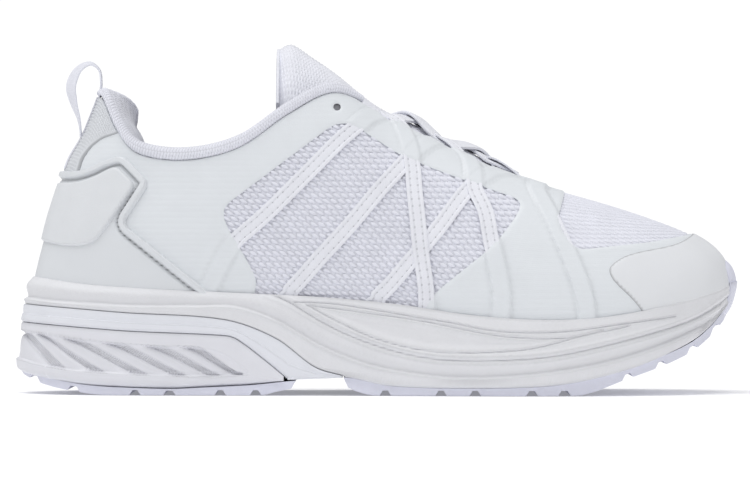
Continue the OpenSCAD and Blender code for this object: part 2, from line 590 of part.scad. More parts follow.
// Bound edge sewn over the free end of the tongue
module tongue_binding() {
    r = TONGUE[0];
    back = r - [1.8, 0.4, 0, 0, 0];
    front = r - [0.3, 0, 0, 0, 0];
    outer = [for (s = [back, front]) [for (q = ACROSS) tongue_point(s, q * 0.98, 0.8)]];
    inner = [for (s = [back, front]) [for (q = ACROSS) tongue_point(s, q * 0.98, 6)]];
    color("lavender") placed() mirror([0, 1, 0]) translate([0, -2 * tongue_mid, 0]) sheet(outer, inner);
}

/* ---- lace ---- */

// Centre line of the laced stretch with the way the flat side faces at each point
LACE = [
    [[150, -14.4, 111], [0.3, -0.3, 1]], [[153.5, -11, 110.8], [0.4, -0.2, 1]],
    [[161, 0, 110], [0.5, 0, 1]], [[168, 8.8, 104.8], [0.5, 0.3, 1]],
    [[172, 11.4, 101.8], [0.5, 0.3, 1]], [[176.5, 10, 99.9], [0.5, 0.3, 1]],
    [[186, 1, 97.4], [0.5, 0, 1]], [[191.5, -3.8, 93.6], [0.5, -0.2, 1]],
    [[195, -5, 92], [0.5, -0.1, 1]], [[198.6, -3.8, 90.4], [0.5, -0.1, 1]],
    [[200.4, 1, 90], [0.5, 0, 1]],
    [[198.6, 5.8, 90.4], [0.5, 0.1, 1]], [[195, 7, 92], [0.5, 0.1, 1]],
    [[191.5, 5.8, 94.2], [0.5, 0.2, 1]], [[186, 1, 99.3], [0.5, 0, 1]],
    [[176.5, -8, 100.4], [0.5, -0.3, 1]], [[172, -9.4, 101.8], [0.5, -0.3, 1]],
    [[168, -7.6, 105.4], [0.5, -0.3, 1]], [[161, 0, 112], [0.5, 0, 1]],
    [[153.5, 12, 111], [0.4, 0.2, 1]], [[150, 15.4, 111], [0.3, 0.3, 1]]];

// Free ends tucked inside the shoe: the lateral one lies in the heel
END_LATERAL = [
    [[148.5, -21.2, 107.6], [0.2, -0.9, 0.6]], [[146.6, -24, 102.4], [0, -1, 0.4]],
    [[144, -26.6, 95], [0, -1, 0.2]], [[140.5, -28.6, 85], [0, -1, 0.1]],
    [[136, -29.6, 74], [0, -1, 0]], [[130.5, -29, 63], [0, -1, 0.1]],
    [[123, -27, 53.5], [0, -0.9, 0.5]], [[113, -24.4, 46.6], [0.1, -0.5, 1]],
    [[101, -22, 43.6], [0, -0.1, 1]], [[88, -20.4, 42.8], [0, 0, 1]],
    [[76, -19.6, 43], [0, 0, 1]], [[65, -17.6, 43.8], [0, 0, 1]],
    [[57, -11.6, 44.4], [0, 0, 1]], [[54.4, -2.6, 44.6], [0, 0, 1]],
    [[58.4, 5.6, 44.4], [0, 0, 1]], [[67, 10, 43.8], [0, 0, 1]],
    [[78, 11.6, 43.2], [0, 0, 1]], [[90, 12, 42.8], [0, 0, 1]],
    [[102, 12, 42.4], [0, 0, 1]], [[112, 12, 42], [0, 0, 1]]];

// The medial one lies forward along the sockliner
END_MEDIAL = [
    [[148.5, 22.4, 107.6], [0.2, 0.9, 0.6]], [[147.6, 24.8, 102.4], [0, 1, 0.4]],
    [[146.6, 27, 95], [0, 1, 0.2]], [[145, 28.6, 85], [0, 1, 0.1]],
    [[143.4, 29.4, 74], [0, 1, 0]], [[143, 29, 63], [-0.1, 1, 0]],
    [[145, 27, 53], [-0.3, 0.8, 0.5]], [[151.5, 25.4, 44.4], [0, 0.4, 1]],
    [[161, 24.4, 39.4], [0.1, 0, 1]], [[172, 24, 36.8], [0.1, 0, 1]],
    [[184, 23.6, 34.4], [0.1, 0, 1]], [[196, 22.4, 33.2], [0, 0, 1]],
    [[205.6, 18, 32.6], [0, 0, 1]], [[210, 9.6, 32.6], [0, 0, 1]],
    [[207.6, 0.6, 32.6], [0, 0, 1]], [[199.6, -4.6, 33], [0, 0, 1]],
    [[188, -6.4, 34], [0.1, 0, 1]], [[176, -7, 36], [0.1, 0, 1]],
    [[164, -7.4, 38.6], [0.1, 0, 1]], [[154, -7.6, 40.2], [0.1, 0, 1]]];

// Flat tape swept along a route, with rounded edges
module tape(route, per, w, t) {
    spots = [for (r = route) r[0]];
    faces_to = [for (r = route) r[1]];
    m = len(route) - 1;
    steps = per * m;
    profile = [[-0.5, -0.2], [-0.4, -0.5], [0.4, -0.5], [0.5, -0.2],
        [0.5, 0.2], [0.4, 0.5], [-0.4, 0.5], [-0.5, 0.2]];
    rings = [for (i = [0 : steps]) let (u = m * i / steps, c = route_at(spots, u),
        along = unit(route_at(spots, min(m, u + 0.05)) - route_at(spots, max(0, u - 0.05))),
        face = route_at(faces_to, u), across = unit(cross(face, along)), up = cross(along, across))
        [for (q = profile) c + across * q[0] * w + up * q[1] * t]];
    tube(rings);
}

module lace() {
    color("lavender") placed() tape(LACE, 2, lace_w, lace_t);
}

module lace_end(route) {
    color("lavender") placed() tape(route, 2, lace_w, lace_t);
}

// Moulded tip, pushed over the end of the lace
aglet_l = 18;
module aglet(route) {
    last = len(route) - 1;
    tip = route[last][0];
    dir = unit(tip - route[last - 1][0]);
    turn = atan2(dir[1], dir[0]);
    lean = -asin(dir[2]);
    color("white") placed() translate(tip + dir * 0.3) rotate([0, lean, turn]) rotate([0, 90, 0])
        cylinder(h = aglet_l, d = 2.6, $fn = 24);
}

outsole_heel();
outsole_forefoot();
toe_bumper();
midsole_upper_foam();
midsole_band();
midsole_heel_wedge();
strobel_board();
sockliner();
upper_mesh();
toe_puff();
heel_counter();
heel_lining();
collar_pad();
backtab();
heel_clip();
heel_pad();
quarter_film(-1);  // quarter_film_lateral
quarter_film(1);  // quarter_film_medial
eyestay_film();
forefoot_film(-1);  // forefoot_film_lateral
forefoot_film(1);  // forefoot_film_medial
toe_cap();
webbing(ROUTE_REAR, -1);  // webbing_rear_lateral
webbing(ROUTE_MIDDLE, -1);  // webbing_middle_lateral
webbing(ROUTE_FRONT, -1);  // webbing_front_lateral
webbing(ROUTE_REAR, 1);  // webbing_rear_medial
webbing(ROUTE_MIDDLE, 1);  // webbing_middle_medial
webbing(ROUTE_FRONT, 1);  // webbing_front_medial
pull_tab_anchor();
pull_tab();
tongue();
tongue_binding();
lace();
lace_end(END_LATERAL);  // lace_end_lateral
lace_end(END_MEDIAL);  // lace_end_medial
aglet(END_LATERAL);  // aglet_lateral
aglet(END_MEDIAL);  // aglet_medial
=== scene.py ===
"""Looks of a white running shoe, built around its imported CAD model.

Lengths in the tables are millimetres in the shoe's own frame: x from the back of the heel, y from
the middle, z from the ground. row() turns them into metres in the frame of the CAD model.
The upper is described by t, which runs round the shoe (0 heel, 13 toe, lateral side first), and v,
which runs from the sole (0) to the collar and throat edge (1).
"""
import math

import bpy
import numpy as np
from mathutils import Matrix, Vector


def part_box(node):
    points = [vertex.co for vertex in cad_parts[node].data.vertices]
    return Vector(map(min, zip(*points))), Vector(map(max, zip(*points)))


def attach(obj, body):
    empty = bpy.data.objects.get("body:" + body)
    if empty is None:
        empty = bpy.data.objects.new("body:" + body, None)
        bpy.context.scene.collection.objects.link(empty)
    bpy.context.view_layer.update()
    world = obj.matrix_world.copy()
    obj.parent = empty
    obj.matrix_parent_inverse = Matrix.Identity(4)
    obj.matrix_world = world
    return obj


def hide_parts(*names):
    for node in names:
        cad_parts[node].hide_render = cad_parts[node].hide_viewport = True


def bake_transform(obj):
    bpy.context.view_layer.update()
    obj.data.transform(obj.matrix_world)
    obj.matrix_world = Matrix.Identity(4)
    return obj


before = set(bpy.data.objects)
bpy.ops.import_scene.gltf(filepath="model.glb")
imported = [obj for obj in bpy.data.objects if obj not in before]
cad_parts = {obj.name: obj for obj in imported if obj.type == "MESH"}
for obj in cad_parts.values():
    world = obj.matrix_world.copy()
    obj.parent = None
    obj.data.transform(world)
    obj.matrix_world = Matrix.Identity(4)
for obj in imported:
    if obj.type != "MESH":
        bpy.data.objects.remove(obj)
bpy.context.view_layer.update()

MM = 0.001
TREAD_FRONT = 133.0
tab_low, tab_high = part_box("pull_tab")
ORIGIN = np.array([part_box("outsole_forefoot")[0].x - TREAD_FRONT * MM, (tab_low.y + tab_high.y) / 2, 0])


def row(points):
    """Points of the shoe's own frame, in metres in the frame of the CAD model."""
    return np.asarray(points, float) * MM + ORIGIN


def new_object(name, data):
    obj = bpy.data.objects.new(name, data)
    bpy.context.scene.collection.objects.link(obj)
    return obj


# ---- camera

PICTURE_WIDTH = 0.3036
view_centre = row([145.4, 0, 61.6])
camera_data = bpy.data.cameras.new("camera")
camera_data.lens = 250
camera = new_object("camera", camera_data)
distance = PICTURE_WIDTH * camera_data.lens / camera_data.sensor_width
camera.location = (view_centre[0], view_centre[1] - distance, view_centre[2])
camera.rotation_euler = (math.radians(90), 0, 0)
bpy.context.scene.camera = camera

# ---- curves


def curve(points, x):
    """Smooth curve through [x, value] pairs, level beyond its ends."""
    p = np.array(points, float)
    x = np.asarray(x, float)
    last = len(p) - 1
    i = np.clip(np.searchsorted(p[:, 0], x, side="right") - 1, 0, last - 1)
    a, b, c, d = p[np.maximum(i - 1, 0)], p[i], p[i + 1], p[np.minimum(i + 2, last)]
    h = c[..., 0] - b[..., 0]
    u = np.clip((x - b[..., 0]) / h, 0, 1)
    mb = (c[..., 1] - a[..., 1]) / np.maximum(c[..., 0] - a[..., 0], 0.02)
    mc = (d[..., 1] - b[..., 1]) / np.maximum(d[..., 0] - b[..., 0], 0.02)
    return ((2 * u**3 - 3 * u**2 + 1) * b[..., 1] + (u**3 - 2 * u**2 + u) * h * mb
            + (3 * u**2 - 2 * u**3) * c[..., 1] + (u**3 - u**2) * h * mc)


def between(a, b, c, d, u):
    """Catmull-Rom blend from b to c."""
    return 0.5 * (2 * b + (c - a) * u + (2 * a - 5 * b + 4 * c - d) * u**2 + (3 * b - a - 3 * c + d) * u**3)


def follow(points, u):
    """Smooth path through points; u counts the points."""
    p = np.array(points, float)
    last = len(p) - 1
    u = np.asarray(u, float)
    i = np.clip(np.floor(u).astype(int), 0, last - 1)
    return between(p[np.maximum(i - 1, 0)], p[i], p[i + 1], p[np.minimum(i + 2, last)], (u - i)[..., None])


def unit(v):
    return v / np.maximum(np.linalg.norm(v, axis=-1, keepdims=True), 1e-9)


def step(x, low, high):
    """0 below low, 1 above high, smooth between."""
    u = np.clip((x - low) / (high - low), 0, 1)
    return u * u * (3 - 2 * u)


def bell(x, width):
    """1 where x is 0, falling off on both sides."""
    return np.exp(-(x / width)**2)


def ripple(x, pitch):
    return np.sin(2 * math.pi * x / pitch)


def squared(x, power):
    """A sine or cosine squared off: its power, with its own sign."""
    return np.sign(x) * np.abs(x)**power


def paired(a, b):
    """Places on the weave map, from their two coordinates."""
    return np.stack(np.broadcast_arrays(a, b), -1).reshape(-1, 2)


def distance_along(points):
    return np.concatenate([[0], np.cumsum(np.linalg.norm(np.diff(points, axis=0), axis=1))])


def spaced(points, gap):
    """Points of a path at even spacing."""
    p = np.asarray(points, float)
    s = distance_along(p)
    even = np.linspace(0, s[-1], max(2, int(round(s[-1] / gap)) + 1))
    return np.stack([np.interp(even, s, p[:, k]) for k in range(p.shape[1])], 1)


# ---- surface of the upper

# Sections round the upper, from the heel to the toe:
# foot x, half width lateral and medial; top x, half width, height; handles out and up at the foot;
# handles out, down and forward at the top
STATIONS = np.array([
    [9.0, 0.0, 0.0, 34.0, 0.0, 119.5, -5.0, 24, 8.5, 22, 0],
    [12.5, 14.0, 14.0, 36.5, 11.0, 118.0, -3.5, 24, 7.0, 22, 0],
    [23.0, 26.0, 25.5, 42.5, 20.5, 105.0, 0.0, 22, 5.0, 20, 0],
    [42.0, 34.0, 33.0, 51.0, 27.0, 96.0, 1.0, 20, 4.0, 18, 0],
    [66.0, 37.0, 34.5, 70.0, 30.5, 93.5, 1.5, 18, 4.5, 17, 0],
    [93.0, 37.5, 33.5, 91.0, 31.5, 98.5, 1.5, 20, 5.0, 18, 1],
    [122.0, 39.5, 34.5, 111.0, 30.5, 112.0, 1.5, 24, 7.5, 21, 3],
    [152.0, 43.5, 39.0, 129.0, 27.5, 120.5, 1.0, 24, 11.0, 22, 6],
    [182.0, 48.0, 45.5, 146.0, 21.5, 114.5, 0.5, 22, 15.0, 18, 12],
    [212.0, 50.0, 49.0, 164.0, 17.5, 105.0, 0.0, 20, 18.0, 13, 18],
    [240.0, 46.0, 48.0, 182.0, 15.0, 95.5, -0.5, 18, 17.0, 10, 24],
    [264.0, 36.0, 41.5, 196.0, 12.5, 88.5, -1.0, 17, 15.0, 8, 32],
    [281.5, 20.0, 28.5, 204.5, 7.5, 84.8, -1.5, 18, 8.0, 11, 52],
    [289.6, 5.0, 5.0, 207.0, 0.0, 84.0, -1.5, 18, 0.0, 16, 66]])
TOE = 13
AROUND = 26
# y of the middle of the throat and the tongue
MIDDLE = 0.8
# Height of the sole's upper edge, and depth of the foot bed below it, along x
FEATHER = [[6, 47.5], [34, 43.8], [80, 41.2], [125, 39], [155, 36.2], [182, 32.2], [210, 30.2],
           [236, 31.2], [262, 35.8], [281, 40.8], [292, 45.2]]
BED_DEPTH = [[6, 9.5], [80, 8.8], [125, 8], [182, 6.4], [292, 6.4]]
WALL_LENGTH = 88.0


def station(i):
    """Section i of the closed loop, from the heel round the lateral side and back."""
    lateral = i <= TOE
    k = i if lateral else AROUND - i
    r = STATIONS[k]
    side = -1 if lateral else 1
    half = r[1] if lateral else r[2]
    shift = max(0.0, min(2.0, (k - 7) / 2))
    return [r[0], half if k == TOE else side * half, r[3], side * r[4] + shift, *r[5:]]


LOOP = np.array([station(i) for i in range(AROUND)])


def path_at(t):
    t = np.asarray(t, float) % AROUND
    i = np.floor(t).astype(int)
    a, b, c, d = (LOOP[(i + k) % AROUND] for k in (-1, 0, 1, 2))
    return between(a, b, c, d, (t - i)[..., None])


def plan_out(t):
    """Outward direction in plan at the foot of the wall."""
    d = path_at(np.asarray(t) + 0.02)[..., :2] - path_at(np.asarray(t) - 0.02)[..., :2]
    return unit(np.stack([d[..., 1], -d[..., 0], 0 * d[..., 0]], -1))


def foot(t):
    s = path_at(t)
    return np.stack([s[..., 0], s[..., 1], curve(FEATHER, s[..., 0])], -1)


def skin(t, v):
    """Point of the upper: a curve from the foot of the wall (v = 0) to its top (v = 1)."""
    t, v = np.broadcast_arrays(np.asarray(t, float), np.asarray(v, float))
    s = path_at(t)
    n = plan_out(t)
    low = foot(t)
    top = s[..., 2:5]
    up = np.stack([0 * t, 0 * t, s[..., 6]], -1)
    lean = np.stack([s[..., 9], 0 * t, -s[..., 8]], -1)
    h1 = low + n * s[..., 5:6] + up
    h2 = top + n * s[..., 7:8] + lean
    v = v[..., None]
    return (1 - v)**3 * low + 3 * (1 - v)**2 * v * h1 + 3 * (1 - v) * v**2 * h2 + v**3 * top


def skin_out(t, v, e=0.02):
    t, v = np.broadcast_arrays(np.asarray(t, float), np.asarray(v, float))
    return unit(np.cross(skin(t + e, v) - skin(t - e, v), skin(t, v + e) - skin(t, v - e)))


def layer(t, v, off):
    """Point of the upper moved off its surface; below v = 0 it drops straight into the sole."""
    t, v, off = np.broadcast_arrays(np.asarray(t, float), np.asarray(v, float), np.asarray(off, float))
    above = np.maximum(v, 0)
    n = skin_out(t, np.maximum(above, 0.001))
    p = skin(t, above) + n * off[..., None]
    drop = np.maximum(-v, 0) * curve(BED_DEPTH, foot(t)[..., 0])
    sunk = foot(t) + plan_out(t) * (off - 0.1 * drop)[..., None]
    sunk[..., 2] -= drop
    return np.where((v < 0)[..., None], sunk, p)


def folded(t):
    """t counted from the heel on either side."""
    t = np.asarray(t, float) % AROUND
    return np.minimum(t, AROUND - t)


_ts = np.linspace(-AROUND, 2 * AROUND, 1561)
_arc = distance_along(skin(_ts, 0.5))


def arc(t):
    """Distance round the upper, in millimetres."""
    return np.interp(t, _ts, _arc)


# ---- outlines


def rounded(points, radius, steps=5):
    """Outline with its corners rounded off."""
    p = np.array(points, float)
    out = []
    for a, b, c in zip(np.roll(p, 1, 0), p, np.roll(p, -1, 0)):
        back, ahead = np.linalg.norm(a - b), np.linalg.norm(c - b)
        q0 = b + (a - b) * min(radius, back / 2.01) / back
        q1 = b + (c - b) * min(radius, ahead / 2.01) / ahead
        for u in np.linspace(0, 1, steps):
            out.append((1 - u)**2 * q0 + 2 * u * (1 - u) * b + u**2 * q1)
    return np.array(out)


def gap_to(a, b, x, z):
    """Distance from x, z to the straight line from a to b."""
    ex, ez = b - a
    wx, wz = x - a[0], z - a[1]
    h = np.clip((wx * ex + wz * ez) / (ex * ex + ez * ez + 1e-12), 0, 1)
    return np.hypot(wx - ex * h, wz - ez * h)


def inside(outline, x, z):
    """Distance to the outline in millimetres, positive inside it."""
    best = np.full(np.shape(x), 1e9)
    odd = np.zeros(np.shape(x), bool)
    for a, b in zip(outline, np.roll(outline, -1, 0)):
        ex, ez = b - a
        best = np.minimum(best, gap_to(a, b, x, z))
        odd ^= ((a[1] > z) != (b[1] > z)) & (x < ex * (z - a[1]) / (ez if ez else 1e-9) + a[0])
    return np.where(odd, best, -best)


def away(line, x, z):
    """Distance to an open line."""
    return np.minimum.reduce([gap_to(a, b, x, z) for a, b in zip(line[:-1], line[1:])])


# ---- meshes


def mesh_object(name, points, faces, material, body="shoe", slot=None, sharp=35, uv=None, **values):
    """A piece from points in the shoe's own frame. values are numbers kept on each point."""
    mesh = bpy.data.meshes.new(name)
    mesh.from_pydata(row(points).tolist(), [], [list(map(int, f)) for f in faces])
    mesh.validate()
    for key, value in values.items():
        mesh.attributes.new(key, "FLOAT", "POINT").data.foreach_set("value", np.asarray(value, np.float32))
    if uv is not None:
        corner = np.zeros(len(mesh.loops), int)
        mesh.loops.foreach_get("vertex_index", corner)
        layer_uv = mesh.uv_layers.new(name="weave")
        layer_uv.data.foreach_set("uv", (np.asarray(uv, float) / 10)[corner].astype(np.float32).ravel())
    mesh.polygons.foreach_set("use_smooth", np.ones(len(mesh.polygons), bool))
    mesh.set_sharp_from_angle(angle=math.radians(sharp))
    obj = new_object(name, mesh)
    mesh.materials.append(material)
    if body:
        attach(obj, body)
    return obj


def grid_faces(n, m, closed=False):
    i = np.arange(n if closed else n - 1)[:, None]
    j = np.arange(m - 1)[None, :]
    a, b = i * m + j, ((i + 1) % n) * m + j
    return np.stack([a, b, b + 1, a + 1], -1).reshape(-1, 4)


def shell_faces(cells, count):
    """Faces of a closed shell: the cells, the same cells on the back, and the walls between."""
    loops = np.stack([cells, np.roll(cells, -1, 1)], -1).reshape(-1, 2)
    key = loops[:, 0] * count + loops[:, 1]
    back = loops[:, 1] * count + loops[:, 0]
    rim = loops[~np.isin(key, back)]
    walls = np.stack([rim[:, 1], rim[:, 0], rim[:, 0] + count, rim[:, 1] + count], 1)
    return np.concatenate([cells, cells[:, ::-1] + count, walls])


# How near the edge a point has to be to move on to it, and how far it may move, in grid cells
HALF_CELL, EDGE_MOVE = 0.5, 1.3


def patch(name, material, t_range, v_range, size, region, outer, inner, slot, sharp=35, **extra):
    """Closed shell over the part of the upper where region(t, v, p) is positive.

    region is a distance in millimetres; outer and inner give heights over the surface, and extra
    gives numbers to keep on each point. Points next to the edge are moved on to it.
    """
    length = arc(t_range[1]) - arc(t_range[0])
    nt = max(6, int(length / size))
    nv = max(4, int((v_range[1] - v_range[0]) * WALL_LENGTH / size))
    t, v = np.meshgrid(np.linspace(*t_range, nt), np.linspace(*v_range, nv), indexing="ij")
    dt, dv = t[1, 0] - t[0, 0], v[0, 1] - v[0, 0]
    p = layer(t, v, 0)
    d = region(t, v, p)
    gi, gj = np.gradient(d)
    slope = gi**2 + gj**2 + 1e-9
    si, sj = -d * gi / slope, -d * gj / slope
    reach = np.hypot(si, sj)
    core = (d > 0) & (reach > HALF_CELL)
    keep = core[:-1, :-1] | core[1:, :-1] | core[1:, 1:] | core[:-1, 1:]
    limit = np.minimum(1, EDGE_MOVE / np.maximum(reach, 1e-6))
    t = np.where(core, t, t + si * limit * dt)
    v = np.where(core, v, v + sj * limit * dv)
    t, v = np.clip(t, *t_range), np.clip(v, *v_range)
    d = np.where(core, d, 0)
    cells = grid_faces(nt, nv)[keep.ravel()]
    used, cells = np.unique(cells, return_inverse=True)
    cells = cells.reshape(-1, 4)
    t, v, d = t.ravel()[used], v.ravel()[used], d.ravel()[used]
    p = layer(t, v, 0)
    points = np.concatenate([layer(t, v, outer(t, v, p, d)), layer(t, v, inner(t, v, p, d))])
    uv = np.stack([arc(t), v * WALL_LENGTH], 1)
    kept = {key: np.tile(value(t, v, p, d), 2) for key, value in extra.items()}
    return mesh_object(name, points, shell_faces(cells, len(used)), material, "shoe", slot, sharp,
                       uv=np.tile(uv, (2, 1)), **kept)


def loft(name, rings, material, slot, body="shoe", sharp=35, uv=None, **values):
    """Closed tube through rings of points."""
    n, m = rings.shape[:2]
    a = np.arange(n - 1)[:, None] * m + np.arange(m)[None, :]
    b = np.arange(n - 1)[:, None] * m + (np.arange(m)[None, :] + 1) % m
    faces = np.stack([a, b, b + m, a + m], -1).reshape(-1, 4).tolist()
    faces += [list(range(m))[::-1], list(range((n - 1) * m, n * m))]
    return mesh_object(name, rings.reshape(-1, 3), faces, material, body, slot, sharp, uv=uv, **values)


def stack(name, rings, whole, material, slot, uv=None, **values):
    """Solid through stacked rings, capped by strips across the shoe.

    whole says that the rings go all the way round; otherwise they end at a flat front."""
    m, n = rings.shape[:2]
    faces = []
    for base, up in ((0, False), ((m - 1) * n, True)):
        for i in range(n // 2):
            j, k = ((n - i) % n, (n - i - 1) % n) if whole else (n - 1 - i, n - 2 - i)
            strip = list(dict.fromkeys([base + i, base + i + 1, base + k, base + j]))
            if len(strip) > 2:
                faces.append(strip[::-1] if up else strip)
    j = np.arange(m - 1)[:, None] * n
    i = np.arange(n)[None, :]
    a, b = j + i, j + (i + 1) % n
    faces += np.stack([a, a + n, b + n, b], -1).reshape(-1, 4).tolist()
    return mesh_object(name, rings.reshape(-1, 3), faces, material, "shoe", slot, 30, uv=uv, **values)


# ---- materials


def add(tree, kind, inputs=None, **settings):
    node = tree.nodes.new("ShaderNode" + kind)
    for key, value in settings.items():
        setattr(node, key, value)
    for key, value in (inputs or {}).items():
        if isinstance(value, bpy.types.NodeSocket):
            tree.links.new(value, node.inputs[key])
        else:
            node.inputs[key].default_value = value
    return node


def grain_pattern(tree, where, size):
    return add(tree, "TexNoise", {"Vector": where, "Scale": 1 / size, "Detail": 3.0}).outputs["Fac"]


def pebble_pattern(tree, where, size):
    cells = add(tree, "TexVoronoi", {"Vector": where, "Scale": 1 / size}, feature="SMOOTH_F1")
    return cells.outputs["Distance"]


def wave(tree, where, size, direction):
    node = add(tree, "TexWave", {"Vector": where, "Scale": math.pi / 10 / size}, bands_direction=direction)
    return node.outputs["Fac"]


def ribs_pattern(tree, where, size):
    return wave(tree, where, size, "Y")


def weave_pattern(tree, where, size):
    return add(tree, "Math", {0: wave(tree, where, size, "X"), 1: wave(tree, where, size, "Y")},
               operation="MULTIPLY").outputs[0]


def knit_pattern(tree, where, size):
    turned = add(tree, "Mapping", {"Vector": where, "Rotation": (0, 0, math.radians(35))})
    return add(tree, "Math", {0: wave(tree, turned.outputs[0], size, "X"), 1: wave(tree, where, size, "Y")},
               operation="MAXIMUM").outputs[0]


BLOTCH_SIZE = 9.0


def look(name, colour, rough, layers, tint=0.06, sheen=0.0, hollow_shade_share=0.25, clear=0.0, marks=0.0):
    """Procedural material. layers are (pattern, size mm, depth mm, on the weave map) of its bump.

    tint darkens its blotches by that share; a second share darkens its hollows as painted shade,
    and a third darkens the points flagged 1: stitches, seams, edges, and painted shade between puffs, in
    grooves and in the eyelet hole."""
    material = bpy.data.materials.new(name)
    material.use_nodes = True
    tree = material.node_tree
    shader = tree.nodes["Principled BSDF"]
    place = add(tree, "TexCoord").outputs["Object"]
    weave_map = add(tree, "UVMap", uv_map="weave").outputs["UV"]
    blotch = add(tree, "TexNoise", {"Vector": place, "Scale": 1 / (BLOTCH_SIZE * MM), "Detail": 4.0})
    dark = [c * (1 - tint) for c in colour]
    shade = add(tree, "ValToRGB", {"Fac": blotch.outputs["Fac"]})
    shade.color_ramp.elements[0].position = 0.3
    shade.color_ramp.elements[1].position = 0.7
    shade.color_ramp.elements[0].color = (*dark, 1)
    shade.color_ramp.elements[1].color = (*colour, 1)
    # Painted shade: hollows, where pointiness is low, are darkened by that share.
    concavity = add(tree, "NewGeometry").outputs["Pointiness"]
    hollow_shade = add(tree, "MapRange", {"Value": concavity, "From Min": 0.42, "From Max": 0.5,
                                    "To Min": 1 - hollow_shade_share, "To Max": 1.0})
    deep = add(tree, "Mix", {"Factor": 1.0}, data_type="RGBA", blend_type="MULTIPLY")
    plain, hollow = [socket for socket in deep.inputs if socket.type == "RGBA"]
    tree.links.new(shade.outputs["Color"], plain)
    tree.links.new(hollow_shade.outputs[0], hollow)
    colour_out = [s for s in deep.outputs if s.type == "RGBA"][0]
    # Darkens the flagged points: stitches, seams and edges, and painted shade in hollows of knit, foam,
    # wedge, clip and collar.
    if marks:
        mark = add(tree, "Attribute", attribute_name="mark").outputs["Fac"]
        keep = add(tree, "MapRange", {"Value": mark, "To Min": 1.0, "To Max": 1 - marks}, clamp=False)
        marked = add(tree, "VectorMath", {0: colour_out, "Scale": keep.outputs[0]}, operation="SCALE")
        colour_out = marked.outputs["Vector"]
    tree.links.new(colour_out, shader.inputs["Base Color"])
    vary = add(tree, "MapRange", {"Value": blotch.outputs["Fac"], "From Min": 0.3, "From Max": 0.7,
                                  "To Min": rough - 0.05, "To Max": min(1.0, rough + 0.05)})
    tree.links.new(vary.outputs[0], shader.inputs["Roughness"])
    normal = None
    for pattern, size, depth, mapped in layers:
        height = pattern(tree, weave_map if mapped else place, size / 10 if mapped else size * MM)
        inputs = {"Height": height, "Distance": depth * MM, "Strength": 1.0}
        if normal is not None:
            inputs["Normal"] = normal
        normal = add(tree, "Bump", inputs).outputs["Normal"]
    if normal is not None:
        tree.links.new(normal, shader.inputs["Normal"])
    if sheen:
        shader.inputs["Sheen Weight"].default_value = sheen
        shader.inputs["Sheen Roughness"].default_value = 0.5
    if clear:
        shader.inputs["Coat Weight"].default_value = clear
        shader.inputs["Coat Roughness"].default_value = 0.3
    return material


WARM = (0.775, 0.805, 0.84)
COOL = (0.845, 0.855, 0.935)
knit_look = look("upper_knit", COOL, 0.85, [(grain_pattern, 0.35, 0.12, False)], sheen=0.15, marks=0.17)
film_look = look("film", WARM, 0.48, [(ribs_pattern, 0.9, 0.02, True), (grain_pattern, 0.6, 0.015, False)],
                 tint=0.02, marks=0.06)
cap_look = look("toe_cap_film", (0.79, 0.805, 0.835), 0.5, [(grain_pattern, 0.5, 0.02, False)], tint=0.015,
                marks=0.5)
clip_look = look("clip_plastic", (0.735, 0.758, 0.79), 0.42, [(grain_pattern, 0.35, 0.012, False)], tint=0.02,
                 marks=0.5)
pad_look = look("pad_plastic", (0.74, 0.76, 0.79), 0.55, [(pebble_pattern, 0.45, 0.05, False)], tint=0.03)
foam_look = look("midsole_foam", (0.775, 0.78, 0.81), 0.6,
                 [(pebble_pattern, 0.9, 0.06, False), (grain_pattern, 0.3, 0.02, False)], tint=0.03,
                 marks=0.35)
band_look = look("band_foam", (0.795, 0.81, 0.865), 0.5, [(grain_pattern, 0.5, 0.02, False)], tint=0.03)
wedge_look = look("wedge_foam", (0.77, 0.775, 0.825), 0.45, [(grain_pattern, 0.5, 0.015, False)], tint=0.03,
                  marks=0.3)
rubber_look = look("outsole_rubber", (0.76, 0.77, 0.88), 0.6,
                   [(pebble_pattern, 0.8, 0.05, False), (grain_pattern, 0.3, 0.03, False)])
strap_look = look("webbing", (0.86, 0.87, 0.93), 0.8, [(weave_pattern, 0.45, 0.03, True)], sheen=0.1,
                  marks=0.45)
tape_look = look("tab_tape", (0.83, 0.84, 0.92), 0.75, [(weave_pattern, 0.6, 0.05, True)], sheen=0.1,
                 marks=0.35)
terry_look = look("collar_knit", (0.85, 0.86, 0.94), 0.95,
                  [(grain_pattern, 0.3, 0.12, False)], sheen=0.4, marks=0.2)
tongue_look = look("tongue_knit", (0.87, 0.88, 0.95), 0.9, [(knit_pattern, 1.1, 0.16, True)], sheen=0.3)
binding_look = look("binding_tape", (0.84, 0.85, 0.92), 0.8, [(weave_pattern, 0.6, 0.08, True)], sheen=0.2)
lace_look = look("lace_weave", (0.86, 0.87, 0.93), 0.85, [(weave_pattern, 0.7, 0.12, True)], sheen=0.2)
backtab_look = look("backtab_weave", (0.70, 0.72, 0.755), 0.6, [(grain_pattern, 0.4, 0.03, False)], tint=0.03,
                    marks=0.4)
lining_look = look("lining", (0.80, 0.81, 0.86), 0.9, [(weave_pattern, 0.8, 0.08, True)], sheen=0.2)
sock_look = look("sockliner_cloth", (0.78, 0.79, 0.84), 0.9, [(grain_pattern, 0.5, 0.12, False)], sheen=0.2)
board_look = look("board", (0.75, 0.74, 0.70), 0.9, [(grain_pattern, 0.4, 0.06, False)])
stiff_look = look("stiffener", (0.74, 0.73, 0.69), 0.7, [(grain_pattern, 0.5, 0.04, False)])
aglet_look = look("aglet_plastic", (0.85, 0.86, 0.88), 0.25, [(grain_pattern, 1.2, 0.01, False)], clear=0.5)

# ---- lace

